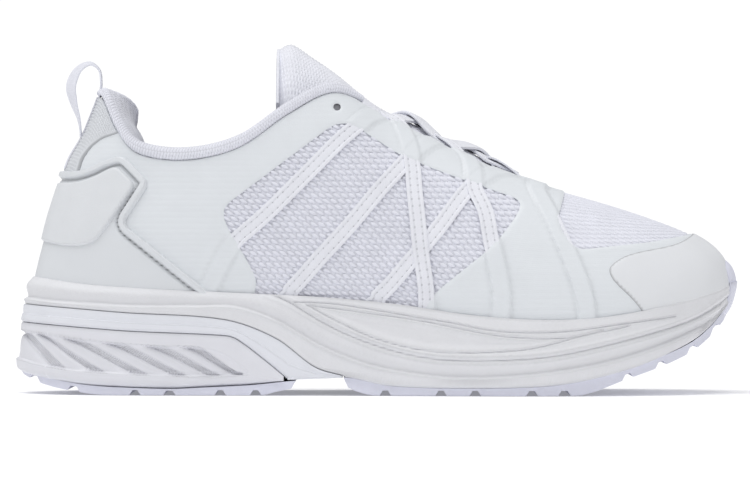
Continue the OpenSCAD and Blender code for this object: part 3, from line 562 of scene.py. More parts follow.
LACE_WIDTH = 7.0
LACE_THICK = 1.4
LACE = [
    [[150, -14.4, 111], [0.3, -0.3, 1]], [[153.5, -11, 110.8], [0.4, -0.2, 1]],
    [[161, 0, 110], [0.5, 0, 1]], [[168, 8.8, 104.8], [0.5, 0.3, 1]],
    [[172, 11.4, 101.8], [0.5, 0.3, 1]], [[176.5, 10, 99.9], [0.5, 0.3, 1]],
    [[186, 1, 97.4], [0.5, 0, 1]], [[191.5, -3.8, 93.6], [0.5, -0.2, 1]],
    [[195, -5, 92], [0.5, -0.1, 1]], [[198.6, -3.8, 90.4], [0.5, -0.1, 1]],
    [[200.4, 1, 90], [0.5, 0, 1]],
    [[198.6, 5.8, 90.4], [0.5, 0.1, 1]], [[195, 7, 92], [0.5, 0.1, 1]],
    [[191.5, 5.8, 94.2], [0.5, 0.2, 1]], [[186, 1, 99.3], [0.5, 0, 1]],
    [[176.5, -8, 100.4], [0.5, -0.3, 1]], [[172, -9.4, 101.8], [0.5, -0.3, 1]],
    [[168, -7.6, 105.4], [0.5, -0.3, 1]], [[161, 0, 112], [0.5, 0, 1]],
    [[153.5, 12, 111], [0.4, 0.2, 1]], [[150, 15.4, 111], [0.3, 0.3, 1]]]
END_LATERAL = [
    [[148.5, -21.2, 107.6], [0.2, -0.9, 0.6]], [[146.6, -24, 102.4], [0, -1, 0.4]],
    [[144, -26.6, 95], [0, -1, 0.2]], [[140.5, -28.6, 85], [0, -1, 0.1]],
    [[136, -29.6, 74], [0, -1, 0]], [[130.5, -29, 63], [0, -1, 0.1]],
    [[123, -27, 53.5], [0, -0.9, 0.5]], [[113, -24.4, 46.6], [0.1, -0.5, 1]],
    [[101, -22, 43.6], [0, -0.1, 1]], [[88, -20.4, 42.8], [0, 0, 1]],
    [[76, -19.6, 43], [0, 0, 1]], [[65, -17.6, 43.8], [0, 0, 1]],
    [[57, -11.6, 44.4], [0, 0, 1]], [[54.4, -2.6, 44.6], [0, 0, 1]],
    [[58.4, 5.6, 44.4], [0, 0, 1]], [[67, 10, 43.8], [0, 0, 1]],
    [[78, 11.6, 43.2], [0, 0, 1]], [[90, 12, 42.8], [0, 0, 1]],
    [[102, 12, 42.4], [0, 0, 1]], [[112, 12, 42], [0, 0, 1]]]
END_MEDIAL = [
    [[148.5, 22.4, 107.6], [0.2, 0.9, 0.6]], [[147.6, 24.8, 102.4], [0, 1, 0.4]],
    [[146.6, 27, 95], [0, 1, 0.2]], [[145, 28.6, 85], [0, 1, 0.1]],
    [[143.4, 29.4, 74], [0, 1, 0]], [[143, 29, 63], [-0.1, 1, 0]],
    [[145, 27, 53], [-0.3, 0.8, 0.5]], [[151.5, 25.4, 44.4], [0, 0.4, 1]],
    [[161, 24.4, 39.4], [0.1, 0, 1]], [[172, 24, 36.8], [0.1, 0, 1]],
    [[184, 23.6, 34.4], [0.1, 0, 1]], [[196, 22.4, 33.2], [0, 0, 1]],
    [[205.6, 18, 32.6], [0, 0, 1]], [[210, 9.6, 32.6], [0, 0, 1]],
    [[207.6, 0.6, 32.6], [0, 0, 1]], [[199.6, -4.6, 33], [0, 0, 1]],
    [[188, -6.4, 34], [0.1, 0, 1]], [[176, -7, 36], [0.1, 0, 1]],
    [[164, -7.4, 38.6], [0.1, 0, 1]], [[154, -7.6, 40.2], [0.1, 0, 1]]]


def ribbon(centre, face):
    """Directions across and up along a ribbon, and the distance along it."""
    along = unit(np.gradient(centre, axis=0))
    across = unit(np.cross(face, along))
    return across, np.cross(along, across), distance_along(centre)


def flat_profile(count):
    """Outline of a flat tape: q across (-0.5 to 0.5) and h up (-0.5 to 0.5), with rounded edges."""
    a = np.linspace(0, 2 * math.pi, count, endpoint=False)
    return 0.5 * np.cos(a), 0.5 * squared(np.sin(a), 0.35)


TAPE_GAP = 0.3


def woven_tape(name, centre, face, width, thick, material, slot, rib, deep, body="shoe", count=36):
    """Flat woven tape along a path, with ribs across it and firmer edges. rib is the ribs' pitch."""
    both = spaced(np.hstack([centre, face]), TAPE_GAP)
    centre, face = both[:, :3], both[:, 3:]
    across, up, run = ribbon(centre, face)
    q, h = flat_profile(count)
    s = run[:, None]
    strand = ripple(s + np.abs(q)[None, :] * width, rib)
    edge = step(np.abs(q), 0.36, 0.46)[None, :]
    up_to = h[None, :] * (thick + 0.12 * edge) + np.sign(h)[None, :] * deep * 0.5 * strand * (1 - 0.6 * edge)
    rings = centre[:, None] + across[:, None] * (q[None, :, None] * width) + up[:, None] * up_to[..., None]
    return loft(name, rings, material, slot, body, 60, uv=paired(s, (q * width)[None, :])), centre


def lace_path(route):
    u = np.linspace(0, len(route) - 1, 40 * len(route))
    return follow([r[0] for r in route], u), follow([r[1] for r in route], u)


def lace_piece(name, route):
    centre, face = lace_path(route)
    return woven_tape(name, centre, face, LACE_WIDTH, LACE_THICK, lace_look, "lace_weave",
                      rib=1.3, deep=0.16, count=40)


lace, _ = lace_piece("flat_lace", LACE)
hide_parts("lace")
for side, route in (("lateral", END_LATERAL), ("medial", END_MEDIAL)):
    tail, line = lace_piece("flat_lace_end_" + side, route)
    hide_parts("lace_end_" + side)

# ---- sole

BAND_TOP = [[3, 36.4], [45, 32.8], [86, 29.9], [106.5, 22.5], [121.9, 11.3], [133.7, 7.6]]
WEDGE_TOP = [[3, 29.2], [45, 25.6], [86, 23.6], [91, 22], [101.4, 14.3], [111, 6.4]]
FOAM_BOTTOM = [[0, 13.3], [3.8, 10.4], [14.2, 6.8], [29.6, 4.1], [45, 3.1], [65.4, 2.6], [75.8, 3.1],
               [96, 4.1], [110.6, 5.6], [123, 6.3], [134, 7.2], [150, 4], [172.6, 3], [206.6, 3.4],
               [223.6, 5.1], [245, 10.2], [263.2, 17], [274.6, 22.7], [285.9, 32.9], [291, 40]]
WALL_TOP = [[0, 2.6], [3, 2.2], [9, 2], [10.6, 1.4], [11.4, 0.8], [13, 0.8]]
WALL_MID = [[0, 5.2], [3, 4.2], [9, 4.2], [10.5, 3], [11.4, 0.7], [13, 0.6]]
WALL_BAND = [[0, 6], [2, 5.2], [4, 4.5], [7, 4.2]]
WALL_LOW = [[0, 8.8], [1, 8.2], [2.5, 6.5], [4, 5.5], [7, 4.6]]
RIM_CLEAR = [[10, 0.3], [11.4, 0.5], [13, 0.5]]
LIP = [[120, 0.6], [150, 3.2], [260, 3.2], [292, 2]]

# Lines pressed into the side of the upper foam, as x, z
SHOULDER_LINE = [[-4, 39.4], [4.7, 39], [16.3, 37.8], [49.2, 36.1], [75, 36], [90.3, 35.6], [106.8, 30],
                 [123.3, 20.5], [141.8, 13.1], [160.2, 9.4], [178.6, 7.8], [197, 8.2], [215.4, 10],
                 [233.9, 13.1], [252.3, 18], [270.7, 24.8], [283, 31], [289, 37.5]]
RIDGE_LINE = [[102.7, 40.3], [110.9, 37], [123.3, 29.6], [135.7, 23.5], [151.6, 18], [166.3, 14.9],
              [179.8, 14], [197, 14.1], [215.4, 15.6], [233.9, 19.2], [258.4, 25.4], [275, 31], [287.9, 38.6]]
LEAF_TOP = [[113.6, 36.8], [127, 36.4], [144.2, 34], [160.2, 31.3], [176.2, 28.7], [189.7, 26],
            [204.4, 25], [221.6, 25.4], [240, 27.8], [258.4, 30.3], [265, 31.3]]
LEAF_INNER = [[119, 35.6], [135, 33.6], [162.7, 29.7], [184.8, 25.3], [197, 23.4], [215.4, 22.6],
              [230, 24.2], [246.1, 27.5]]
LEAF_LOW = [[118.5, 35.6], [129.5, 29.7], [144.2, 22.9], [160.2, 18.6], [174.9, 17], [190.9, 17.2],
            [206.8, 18.6], [221.6, 22.1], [236, 26.2]]
# Tops and bottoms of the leaf-shaped fins moulded into the heel wedge
FIN_TOPS = [-9, 4.7, 12.1, 28.6, 45.5, 61.5, 75.5]
FIN_FEET = [4, 22.4, 39.3, 56.6, 71.8, 85.4, 96.9]
RECESS_TOP = [[-6, 26], [4.7, 25.4], [12.1, 24.4], [28.6, 22.2], [45.5, 20.8], [61.5, 19.8], [75.5, 19.4],
              [86, 16.5], [96.9, 8.4]]
RECESS_FOOT = [[-6, 15], [4, 13], [10, 11.6], [22.4, 9.6], [39.3, 8.4], [56.6, 7.6], [71.8, 7.2],
               [85.4, 7.3], [97.5, 8]]


def smooth_line(points):
    last = len(points) - 1
    return follow(points, np.linspace(0, last, 3 * last + 1))


PRESSED_LINES = [smooth_line(line) for line in (RIDGE_LINE, LEAF_TOP, LEAF_INNER, LEAF_LOW)]
LEAF = np.concatenate([PRESSED_LINES[2], PRESSED_LINES[3][::-1]])


def edge_at(t, grow, z):
    """Point at height z, grow outside the foot of the upper."""
    p = foot(t) + plan_out(t) * np.asarray(grow)[..., None]
    p[..., 2] = z
    return p


# Where the band ends under the foam, where the wedge ends under the band, and their cut fronts
BAND_END, WEDGE_END = 133.7, 111
BAND_FRONT, WEDGE_FRONT = 133.0, 109.5
BAND_TONGUE = [[WEDGE_END, 6], [133, 6.9]]


def foam_low(x):
    return np.where(x < BAND_END, curve(BAND_TOP, x), curve(FOAM_BOTTOM, x))


def foam_lines(x, z):
    """The thin lines pressed into the upper foam: 1 on a line, 0 away from it."""
    return sum(bell(away(line, x, z), 0.33) for line in PRESSED_LINES)


def foam_relief(x, z):
    """How far the side of the upper foam stands out (+) or is pressed in (-)."""
    below = curve(SHOULDER_LINE, x) - z
    leaf = inside(LEAF, x, z)
    ridge = away(PRESSED_LINES[0], x, z)
    out = -1.2 * np.where(below < 0, bell(below, 2.6), bell(below, 0.7))
    out += 0.5 * step(below, 0.5, 1.3) * (1 - step(below, 1.6, 4.5))
    out -= 0.7 * np.minimum(1, foam_lines(x, z)) + 1.0 * step(leaf, 0.3, 4)
    out += 0.45 * bell(ridge - 1.6, 0.8) * (leaf < 0)
    return out


def pebble(x, z):
    """Fine uneven grain of moulded foam."""
    turns = 6.28 / PEBBLE_SIZE
    return np.sin(x * turns + 1.7 * np.sin(z * 4.1)) * np.sin(z * turns + 1.3 * np.sin(x * 3.3))


def wall_rings(keys, t, count_between, relief):
    """Rings between the key rings [(grow, z)], moved out by relief(x, z)."""
    grows, heights = zip(*keys)
    rings = [(follow_scalar(grows, k + u), follow_scalar(heights, k + u))
             for k, n in enumerate(count_between) for u in np.arange(n) / n] + [keys[-1]]
    out = []
    for g, z in rings:
        p = edge_at(t, g, z)
        out.append(edge_at(t, g + relief(p[..., 0], p[..., 2]), z))
    return np.array(out)


def follow_scalar(values, u):
    """Blend between the values of key rings that never overshoots them."""
    k = min(int(u), len(values) - 2)
    a, b, c, d = (values[min(max(k + i, 0), len(values) - 1)] for i in (-1, 0, 1, 2))
    f = u - k
    soft = between(a, b, c, d, f)
    return np.clip(soft, np.minimum(b, c), np.maximum(b, c))


SOLE_GRAIN, PEBBLE_SIZE = 0.045, 1.1
SEAM = 0.05
fine_t = np.linspace(0, AROUND, 1400, endpoint=False)
half_t = folded(fine_t)
foot_x = foot(fine_t)[..., 0]
low_z, rim_z = foam_low(foot_x), curve(FEATHER, foot_x)
bed_z = rim_z - curve(BED_DEPTH, foot_x) - 0.2
wall_mid, wall_top = curve(WALL_MID, half_t), curve(WALL_TOP, half_t)
lip = curve(LIP, foot_x)
rim_clear = curve(RIM_CLEAR, half_t)
foam_keys = [(wall_mid - 1.6, low_z), (wall_mid - 0.5, low_z + lip / 8 + 0.1), (wall_mid, low_z + lip),
             (wall_mid * 0.8 + wall_top * 0.2, low_z * 0.35 + rim_z * 0.65), (wall_top, rim_z - 1),
             (wall_top * 0.6, rim_z - 0.1), (rim_clear, rim_z - 0.3), (rim_clear - 0.6, bed_z),
             (0 * bed_z - 14, bed_z)]


def foam_face(x, z):
    """Relief of the visible side of the upper foam: its lines and its fine grain."""
    low, top = foam_low(x), curve(FEATHER, x)
    visible = step(z, low + 0.2, low + 1.2) * step(top - z, 0.3, 1.3)
    rough = step(np.abs(z - curve(SHOULDER_LINE, x)), 1.5, 3) * SOLE_GRAIN * pebble(x, z)
    return visible * (foam_relief(x, z) + rough)


def foam_mark(x, z):
    """Painted shade, a little darker than the foam, in the pressed lines and along the shoulder line."""
    return 0.28 * np.minimum(1, foam_lines(x, z)) + 0.2 * bell(z - curve(SHOULDER_LINE, x), 0.5)


foam_rings = wall_rings(foam_keys, fine_t, (1, 3, 34, 26, 4, 2, 1, 1), foam_face)
foam = stack("sculpted_upper_foam", foam_rings, True, foam_look, "midsole_foam",
             mark=foam_mark(foam_rings[..., 0], foam_rings[..., 2]).ravel())
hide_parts("midsole_upper_foam")


def reach(x):
    """The t at which the foot of the upper is at x."""
    ts = np.linspace(0, TOE, 2000)
    return float(np.interp(x, path_at(ts)[:, 0], ts))


def cut_keys(front, build, count):
    """Places round the heel as far as x = front, and the key rings there."""
    t = np.linspace(-1, 1, count) * reach(front)
    x = np.minimum(foot(t)[..., 0], front)
    return t, build(np.abs(t), x)


def band_keys(f, x):
    low = np.where(x < WEDGE_END, curve(WEDGE_TOP, x), curve(BAND_TONGUE, x))
    top = np.maximum(curve(BAND_TOP, x), low + 0.6) - SEAM
    low_out = curve(WALL_LOW, f) * 0.3 + curve(WALL_BAND, f) * 0.7
    band = curve(WALL_BAND, f)
    return [(low_out - 0.8, low + 0.1), (low_out, low * 0.88 + top * 0.12),
            (band + 0.35, low * 0.56 + top * 0.44), (band - 0.05, low * 0.5 + top * 0.5),
            (band, low * 0.3 + top * 0.7),
            (band - 0.2, low * 0.05 + top * 0.95), (band - 0.7, top)]


def wedge_keys(f, x):
    low = curve(FOAM_BOTTOM, x) + 0.1
    top = np.maximum(curve(WEDGE_TOP, x) - 2 * SEAM, low + 0.3)
    wide, band = curve(WALL_LOW, f), curve(WALL_BAND, f)
    return [(wide - 3, low), (wide - 0.6, low * 0.93 + top * 0.07), (wide, low * 0.8 + top * 0.2),
            (wide, low * 0.7 + top * 0.3), (wide * 0.4 + band * 0.6, low * 0.2 + top * 0.8),
            (wide * 0.3 + band * 0.7 - 0.1, low * 0.04 + top * 0.96), (wide * 0.3 + band * 0.7 - 0.6, top)]


def fin_place(x, z):
    """Where a point lies in the row of fins: the recess there, the fin count and the leaf's share."""
    top, low = curve(RECESS_TOP, x), curve(RECESS_FOOT, x)
    w = np.clip((top - z) / np.maximum(top - low, 0.5), 0, 1)
    count = 0 * x
    for k in range(len(FIN_TOPS) - 1):
        a = FIN_TOPS[k] + (FIN_FEET[k] - FIN_TOPS[k]) * w
        b = FIN_TOPS[k + 1] + (FIN_FEET[k + 1] - FIN_TOPS[k + 1]) * w
        count = count + np.clip((x - a) / (b - a), 0, 1)
    return top, low, count, 0.03 + 0.6 * (1 - np.exp(-w / 0.06))


FIN_RIBS = 5
RECESS_FRONT = 97
LAST_FIN = len(FIN_TOPS) - 1.001


def fins(x, z):
    """The row of leaf-shaped fins in their recess, with a ribbed floor between the leaves."""
    top, low, count, edge = fin_place(x, z)
    phase = count % 1.0
    across = phase / edge
    beyond = (phase - edge) / (1 - edge)
    leaf = 0.45 * (1 - across) + 0.7 * across**4
    ribs = 0.1 * ripple(FIN_RIBS * beyond, 1) * step(beyond, 0.03, 0.12)
    depth = np.where(phase < edge, leaf, 1.0 - 0.35 * beyond + ribs)
    ends = step(top - z, 0.1, 1.6) * step(z - low, 0.1, 0.9)
    within = step(x, -5, 0) * step(RECESS_FRONT - x, 0, 3)
    last = count < LAST_FIN
    return -(0.3 + 2.0 * depth * last) * ends * within * (top > low)


def fin_mark(x, z):
    """Painted shade in the grooves between the ribs, and at the foot of each leaf."""
    top, low, count, edge = fin_place(x, z)
    phase = count % 1.0
    beyond = (phase - edge) / (1 - edge)
    shown = (top > z) * (z > low) * (count < LAST_FIN) * (count > 0.001)
    return shown * (phase > edge) * (0.1 + 0.4 * step(-ripple(FIN_RIBS * beyond, 1), 0.2, 0.8))


for name, node, front, build, steps, relief, material, slot in (
        ("smooth_band", "midsole_band", BAND_FRONT, band_keys, (3, 8, 3, 6, 6, 3), lambda x, z: 0 * x,
         band_look, "band_foam"),
        ("finned_heel_wedge", "midsole_heel_wedge", WEDGE_FRONT, wedge_keys, (2, 5, 8, 34, 8, 2), fins,
         wedge_look, "wedge_foam")):
    cut_t, keys = cut_keys(front, build, 1100)
    rings = wall_rings(keys, cut_t, steps, relief)
    rings[..., 0] = np.minimum(rings[..., 0], front)
    mark = fin_mark(rings[..., 0], rings[..., 2]) if relief is fins else 0 * rings[..., 0]
    piece = stack(name, rings, False, material, slot, mark=mark.ravel())
    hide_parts(node)

# ---- knitted shell


def level(height):
    """The same height over the whole of a patch."""
    return lambda t, v, p, d: height + 0 * t


SHELL_OUT, SHELL_IN = -1.0, -1.75
knit_t = np.linspace(0, AROUND, 620, endpoint=False)[:, None]
knit_v = np.concatenate([[-1, -0.5, -0.1], np.linspace(0, 0.995, 90)])[None, :]
outer_knit, inner_knit = layer(knit_t, knit_v, SHELL_OUT), layer(knit_t, knit_v, SHELL_IN)
rows_knit, cols_knit = outer_knit.shape[:2]
knit_cells = grid_faces(rows_knit, cols_knit, closed=True)
knit_uv = paired(arc(knit_t), knit_v * WALL_LENGTH)
EYELET, EYELET_RADIUS = [130.3, 114.8], 1.5
eyelet_gap = np.hypot(outer_knit[..., 0] - EYELET[0], outer_knit[..., 2] - EYELET[1])
# Painted shade: the knit under the eyelet hole in the film is darkened to almost black.
eyelet_hole_shade = 4.2 * (1 - step(eyelet_gap, EYELET_RADIUS, EYELET_RADIUS + 0.5)).ravel()
shell = mesh_object("knit_shell", np.concatenate([outer_knit.reshape(-1, 3), inner_knit.reshape(-1, 3)]),
                    shell_faces(knit_cells, rows_knit * cols_knit), knit_look, slot="mesh_knit",
                    uv=np.tile(knit_uv, (2, 1)), mark=np.tile(eyelet_hole_shade, 2))
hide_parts("upper_mesh")

# Windows in the film, as x, z seen from the side
SIDE_WINDOW = rounded([[84.5, 74.5], [130, 108.6], [137, 107.6], [157.2, 94.6], [183.1, 84.9],
                       [203.6, 78], [203, 73], [192.8, 59.8], [168.5, 40.3], [158, 20], [95, 20],
                       [97.5, 40], [98.5, 46], [92, 58], [86, 67.5]], 5)
TOE_WINDOW = rounded([[222.5, 84], [217.6, 68], [224.6, 57.7], [256, 61], [275, 64.6], [300, 76],
                      [270, 110], [222, 110]], 5)
# Rows of slanted rope-like puffs: distance between rows, length of a puff, its slope and half sizes
ROW_PITCH, PUFF_PITCH, PUFF_SLOPE, PUFF_LONG, PUFF_WIDE = 2.3, 3.0, -0.5, 2.0, 0.8


def puff_height(u, w):
    """Height (0 to 1) of the puffed knit at u along and w across its rows."""
    tallest = np.zeros(np.shape(u))
    line = np.floor(w / ROW_PITCH)
    turn = math.hypot(1, PUFF_SLOPE)
    for row_step in (-1, 0, 1):
        n = line + row_step
        start = (0.41 * n) % 1.0
        for step_along in (-1, 0, 1):
            k = np.floor(u / PUFF_PITCH - start) + step_along
            a = u - (k + start + 0.5) * PUFF_PITCH
            b = w - (n + 0.5) * ROW_PITCH
            along, across = (a + b * PUFF_SLOPE) / turn, (b - a * PUFF_SLOPE) / turn
            wide = PUFF_WIDE * (1 - 0.25 * along / PUFF_LONG)
            shape = 1 - (along / PUFF_LONG)**2 - (across / wide)**2
            tallest = np.maximum(tallest, np.sqrt(np.maximum(0, shape)) * (0.86 - 0.14 * along / PUFF_LONG))
    return tallest


# Where the side windows end and the top of the toe starts
SIDE_END, TOE_START, TOE_FLAT = 205, 215, 225


def knit_place(p, t, v):
    """Rows level with the ground on the sides, and round the toe on the top of the toe."""
    on_toe = step(p[..., 0], SIDE_END, TOE_START)
    side_u = np.where(p[..., 1] < MIDDLE, p[..., 0], -p[..., 0])
    return side_u * (1 - on_toe) + arc(t) * on_toe, p[..., 2] * (1 - on_toe) + v * WALL_LENGTH * on_toe


def puffs(t, v, p, d):
    """Height of the open knit, flatter on the toe."""
    tall = 1.1 - 0.5 * step(p[..., 0], SIDE_END, TOE_FLAT)
    return -1.15 + tall * puff_height(*knit_place(p, t, v))


def puff_gap_shade(t, v, p, d):
    """Painted shade between the puffs: 1 there, fainter on the toe."""
    depth = 1 - 0.75 * step(p[..., 0], SIDE_END, TOE_FLAT)
    return depth * (1 - step(puff_height(*knit_place(p, t, v)), 0.0, 0.45))


def seen_in(window):
    """Region of a window, and a little under the film round it."""
    return lambda t, v, p: inside(window, p[..., 0], p[..., 2]) + 1.5


KNIT_SIZE = 0.36
for name, t_range, v_range, region in (
        ("open_knit_lateral", (4.4, 9.9), (-0.3, 0.86), seen_in(SIDE_WINDOW)),
        ("open_knit_medial", (16.1, 21.6), (-0.3, 0.86), seen_in(SIDE_WINDOW)),
        ("open_knit_toe", (9.5, 16.5), (0.36, 0.9), seen_in(TOE_WINDOW))):
    patch(name, knit_look, t_range, v_range, KNIT_SIZE, region, puffs, level(SHELL_OUT - 0.3),
          "mesh_knit", sharp=80, mark=puff_gap_shade)

# ---- webbing straps

ROUTE_REAR = [[4.5, 0.02], [4.78, 0.28], [5.11, 0.42], [6, 0.616], [7.16, 0.8], [7.75, 0.92],
              [8, 0.96], [8.2, 0.985], [8.4, 0.96], [8.35, 0.88], [8.2, 0.77], [8.05, 0.684], [7.78, 0.512],
              [7.54, 0.28], [7.46, 0.03]]
ROUTE_MIDDLE = [[5.66, 0.03], [6.18, 0.24], [6.94, 0.456], [7.99, 0.704], [8.7, 0.86], [9.15, 0.95],
                [9.4, 0.985], [9.65, 0.95], [9.5, 0.86], [9.2, 0.74], [8.94, 0.634], [8.84, 0.524],
                [8.61, 0.336], [8.44, 0.03]]
ROUTE_FRONT = [[6.83, 0.03], [7.36, 0.232], [8.04, 0.432], [8.9, 0.644], [9.8, 0.82], [10.6, 0.92],
               [11, 0.975], [11.35, 0.93], [11, 0.87], [10.3, 0.74], [9.9, 0.55], [9.68, 0.316], [9.6, 0.03]]
# Which points of the lace lie in each loop, lateral and medial
LACE_AT = {"rear": (0, 20), "middle": (16, 4), "front": (8, 12)}
ROUTES = {"rear": ROUTE_REAR, "middle": ROUTE_MIDDLE, "front": ROUTE_FRONT}
STRAP_WIDTH, STRAP_THICK = 6.4, 0.5
# Heights of the two legs over the upper, and where they leave it for the lace
LOW_LEG, HIGH_LEG = -0.1, 0.3
LEG_TOP = 0.955
STITCH_ROW, STITCH_PITCH = 1.45, 2.9


def strap_legs(route, medial):
    """Centre lines of the two legs of a strap, each from the sole up, as t and v."""
    p = np.array(route, float)
    if medial:
        p[:, 0] = AROUND - p[:, 0]
    fine = follow(p, np.linspace(0, len(p) - 1, 30 * len(p)))
    # both ends run straight on, down between the upper and the sole
    down = np.linspace(1, 0, 8)[:, None]
    down = np.hstack([0.15 * down, down]) * (fine[[0, -1], 1].max() + 0.3)
    start = fine[0] + (fine[0] - fine[12]) / max(fine[12, 1] - fine[0, 1], 1e-6) * down
    end = fine[-1] + (fine[-1] - fine[-12]) / max(fine[-12, 1] - fine[-1, 1], 1e-6) * down
    fine = np.concatenate([start[:-1], fine, end[:-1][::-1]])
    peak = int(np.argmax(fine[:, 1]))
    first, second = fine[:peak], fine[peak:]
    return first[first[:, 1] < LEG_TOP], second[second[:, 1] < LEG_TOP]


def strap_path(name, medial):
    """Centre line and facing of a strap: up the low leg, round the lace and down the high leg."""
    low, high = strap_legs(ROUTES[name], medial)
    lace_point = np.array(LACE[LACE_AT[name][medial]][0], float)
    parts, faces = [], []
    for leg, lay, flip in ((low, LOW_LEG, -1), (high, HIGH_LEG, 1)):
        n = skin_out(leg[:, 0], np.maximum(leg[:, 1], 0.001))
        parts.append(layer(leg[:, 0], leg[:, 1], lay))
        faces.append(n * flip)
    a, b = parts[0][-1], parts[1][0]
    inward = unit(lace_point - (a + b) / 2)
    up = unit(skin_out(low[-1:, 0], low[-1:, 1])[0])
    under, over = lace_point - up * 1.3, lace_point + up * 1.3
    turn = np.array([a, (a + under) / 2 - up * 0.4, under, lace_point + inward * 4.6, over,
                     (b + over) / 2 + up * 0.4, b])
    turn_face = np.array([-up, -up, -up, inward, up, up, up])
    u = np.linspace(0, len(turn) - 1, 90)[1:-1]
    centre = np.concatenate([parts[0], follow(turn, u), parts[1]])
    face = np.concatenate([faces[0], unit(follow(turn_face, u)), faces[1]])
    return centre, face


def strap(name, medial):
    centre, face = strap_path(name, medial)
    both = spaced(np.hstack([centre, face]), 0.22)
    centre, face = both[:, :3], unit(both[:, 3:])
    across, up, run = ribbon(centre, face)
    q, h = flat_profile(64)
    s, qq = run[:, None], q[None, :]
    mm_across = qq * STRAP_WIDTH
    ribs = 0.035 * ripple(s + 0.7 * mm_across, 1.0)
    edge = 0.2 * step(np.abs(mm_across), 1.7, 2.2)
    in_row = bell(np.abs(mm_across) - STITCH_ROW, 0.24)
    hole = step(ripple(s, STITCH_PITCH), 0.55, 0.85)
    rise = h[None, :] * STRAP_THICK + np.sign(h)[None, :] * (ribs + edge - in_row * (0.1 + 0.25 * hole))
    mark = (in_row * (0.1 + 0.9 * hole) * (h[None, :] > 0.2)).ravel()
    rings = centre[:, None] + across[:, None] * mm_across[..., None] + up[:, None] * rise[..., None]
    side = "medial" if medial else "lateral"
    piece = loft(f"strap_{name}_{side}", rings, strap_look, "webbing", sharp=60, uv=paired(s, mm_across),
                 mark=mark)
    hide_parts(f"webbing_{name}_{side}")


for name in ROUTES:
    for medial in (0, 1):
        strap(name, medial)


def strap_lines(medial):
    """Centre lines of the straps of one side, on the upper, with the height of each leg."""
    lines = []
    for route in ROUTES.values():
        for leg, lay in zip(strap_legs(route, medial), (LOW_LEG, HIGH_LEG)):
            lines.append((spaced(layer(leg[:, 0], leg[:, 1], 0), 0.7), lay))
    return lines


STRAP_LINES = [strap_lines(0), strap_lines(1)]


def strap_under(p):
    """How high a film is lifted at p by the straps under it, and the outline of the straps in it."""
    lift, line_at = np.zeros(len(p)), np.zeros(len(p))
    for medial in (0, 1):
        mine = np.flatnonzero((p[:, 1] > MIDDLE) == bool(medial))
        if not len(mine):
            continue
        for line, lay in STRAP_LINES[medial]:
            best = np.full(len(mine), 1e9)
            for point in line:
                best = np.minimum(best, ((p[mine] - point)**2).sum(1))
            d = np.sqrt(best)
            high = (1 - step(d, STRAP_WIDTH / 2, STRAP_WIDTH / 2 + 0.9)) * (lay + STRAP_THICK / 2 + 0.3)
            lift[mine] = np.maximum(lift[mine], high)
            line_at[mine] = np.maximum(line_at[mine], bell(d - STRAP_WIDTH / 2 - 0.4, 0.5))
    return lift, line_at


# ---- film overlays

# Upper edge of the film: along the collar, then down the lace throat
FILM_TOP = [[0, 1.0], [7.4, 1.0], [8, 0.97], [13, 0.97]]
LOOP_SLOTS = [8.2, 9.4, 11.0]
SLOT_HALF, SLOT_LOW = 3.7, 0.945


def film_region(t, v, p):
    """The upper without its windows, its eyelets and the slots that the strap loops come out of."""
    x, z = p[..., 0], p[..., 2]
    d = np.minimum(-inside(SIDE_WINDOW, x, z), -inside(TOE_WINDOW, x, z))
    f = folded(t)
    d = np.minimum(d, (curve(FILM_TOP, f) - v) * WALL_LENGTH)
    d = np.minimum(d, np.hypot(x - EYELET[0], z - EYELET[1]) - EYELET_RADIUS)
    for middle in LOOP_SLOTS:
        along = np.abs(f - middle) * (arc(middle + 0.5) - arc(middle - 0.5)) * 0.8
        slot = np.maximum(along - SLOT_HALF, (SLOT_LOW - v) * WALL_LENGTH)
        d = np.minimum(d, slot)
    return d


for side, t_range, nodes in (
        ("lateral", (1.0, 13.0), ("quarter_film_lateral", "forefoot_film_lateral", "eyestay_film")),
        ("medial", (13.0, 25.0), ("quarter_film_medial", "forefoot_film_medial"))):
    known = {}

    def straps_below(p):
        """strap_under, worked out once for each set of points."""
        if p.shape[0] not in known:
            known[p.shape[0]] = strap_under(p)
        return known[p.shape[0]]

    def film_outer(t, v, p, d):
        ribs = 0.03 * ripple(p[..., 2], ROW_PITCH)
        return np.maximum(0, straps_below(p)[0]) - 0.3 * (1 - step(d, 0, 0.7)) + ribs

    def film_inner(t, v, p, d):
        return np.maximum(0, straps_below(p)[0]) - 0.5

    film = patch("film_overlay_" + side, film_look, t_range, (-0.3, 1.0), 0.8, film_region, film_outer,
                 film_inner, "film", mark=lambda t, v, p, d: straps_below(p)[1])
    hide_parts(*nodes)


def edge_line(low, high):
    """Mark along the edge of a patch."""
    return lambda t, v, p, d: 1 - step(d, low, high)


def on_side(outline):
    """Region of a piece from its outline seen from the side."""
    return lambda t, v, p: inside(outline, p[..., 0], p[..., 2])


CAP_EDGE = rounded([[310, 20], [310, 90], [290, 74], [277.5, 66.5], [268, 60], [246, 56], [239.5, 52],
                    [238, 49.5], [240, 45], [249, 37], [256, 26]], 7)
cap = patch("toe_overlay", cap_look, (9.9, 16.1), (-0.3, 0.6), 0.7, on_side(CAP_EDGE),
            lambda t, v, p, d: 0.05 + 0.5 * step(d, 0, 0.7), level(-0.1), "cap_film",
            mark=edge_line(0.2, 0.7))
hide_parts("toe_cap")

# ---- heel clip, pad and backtab

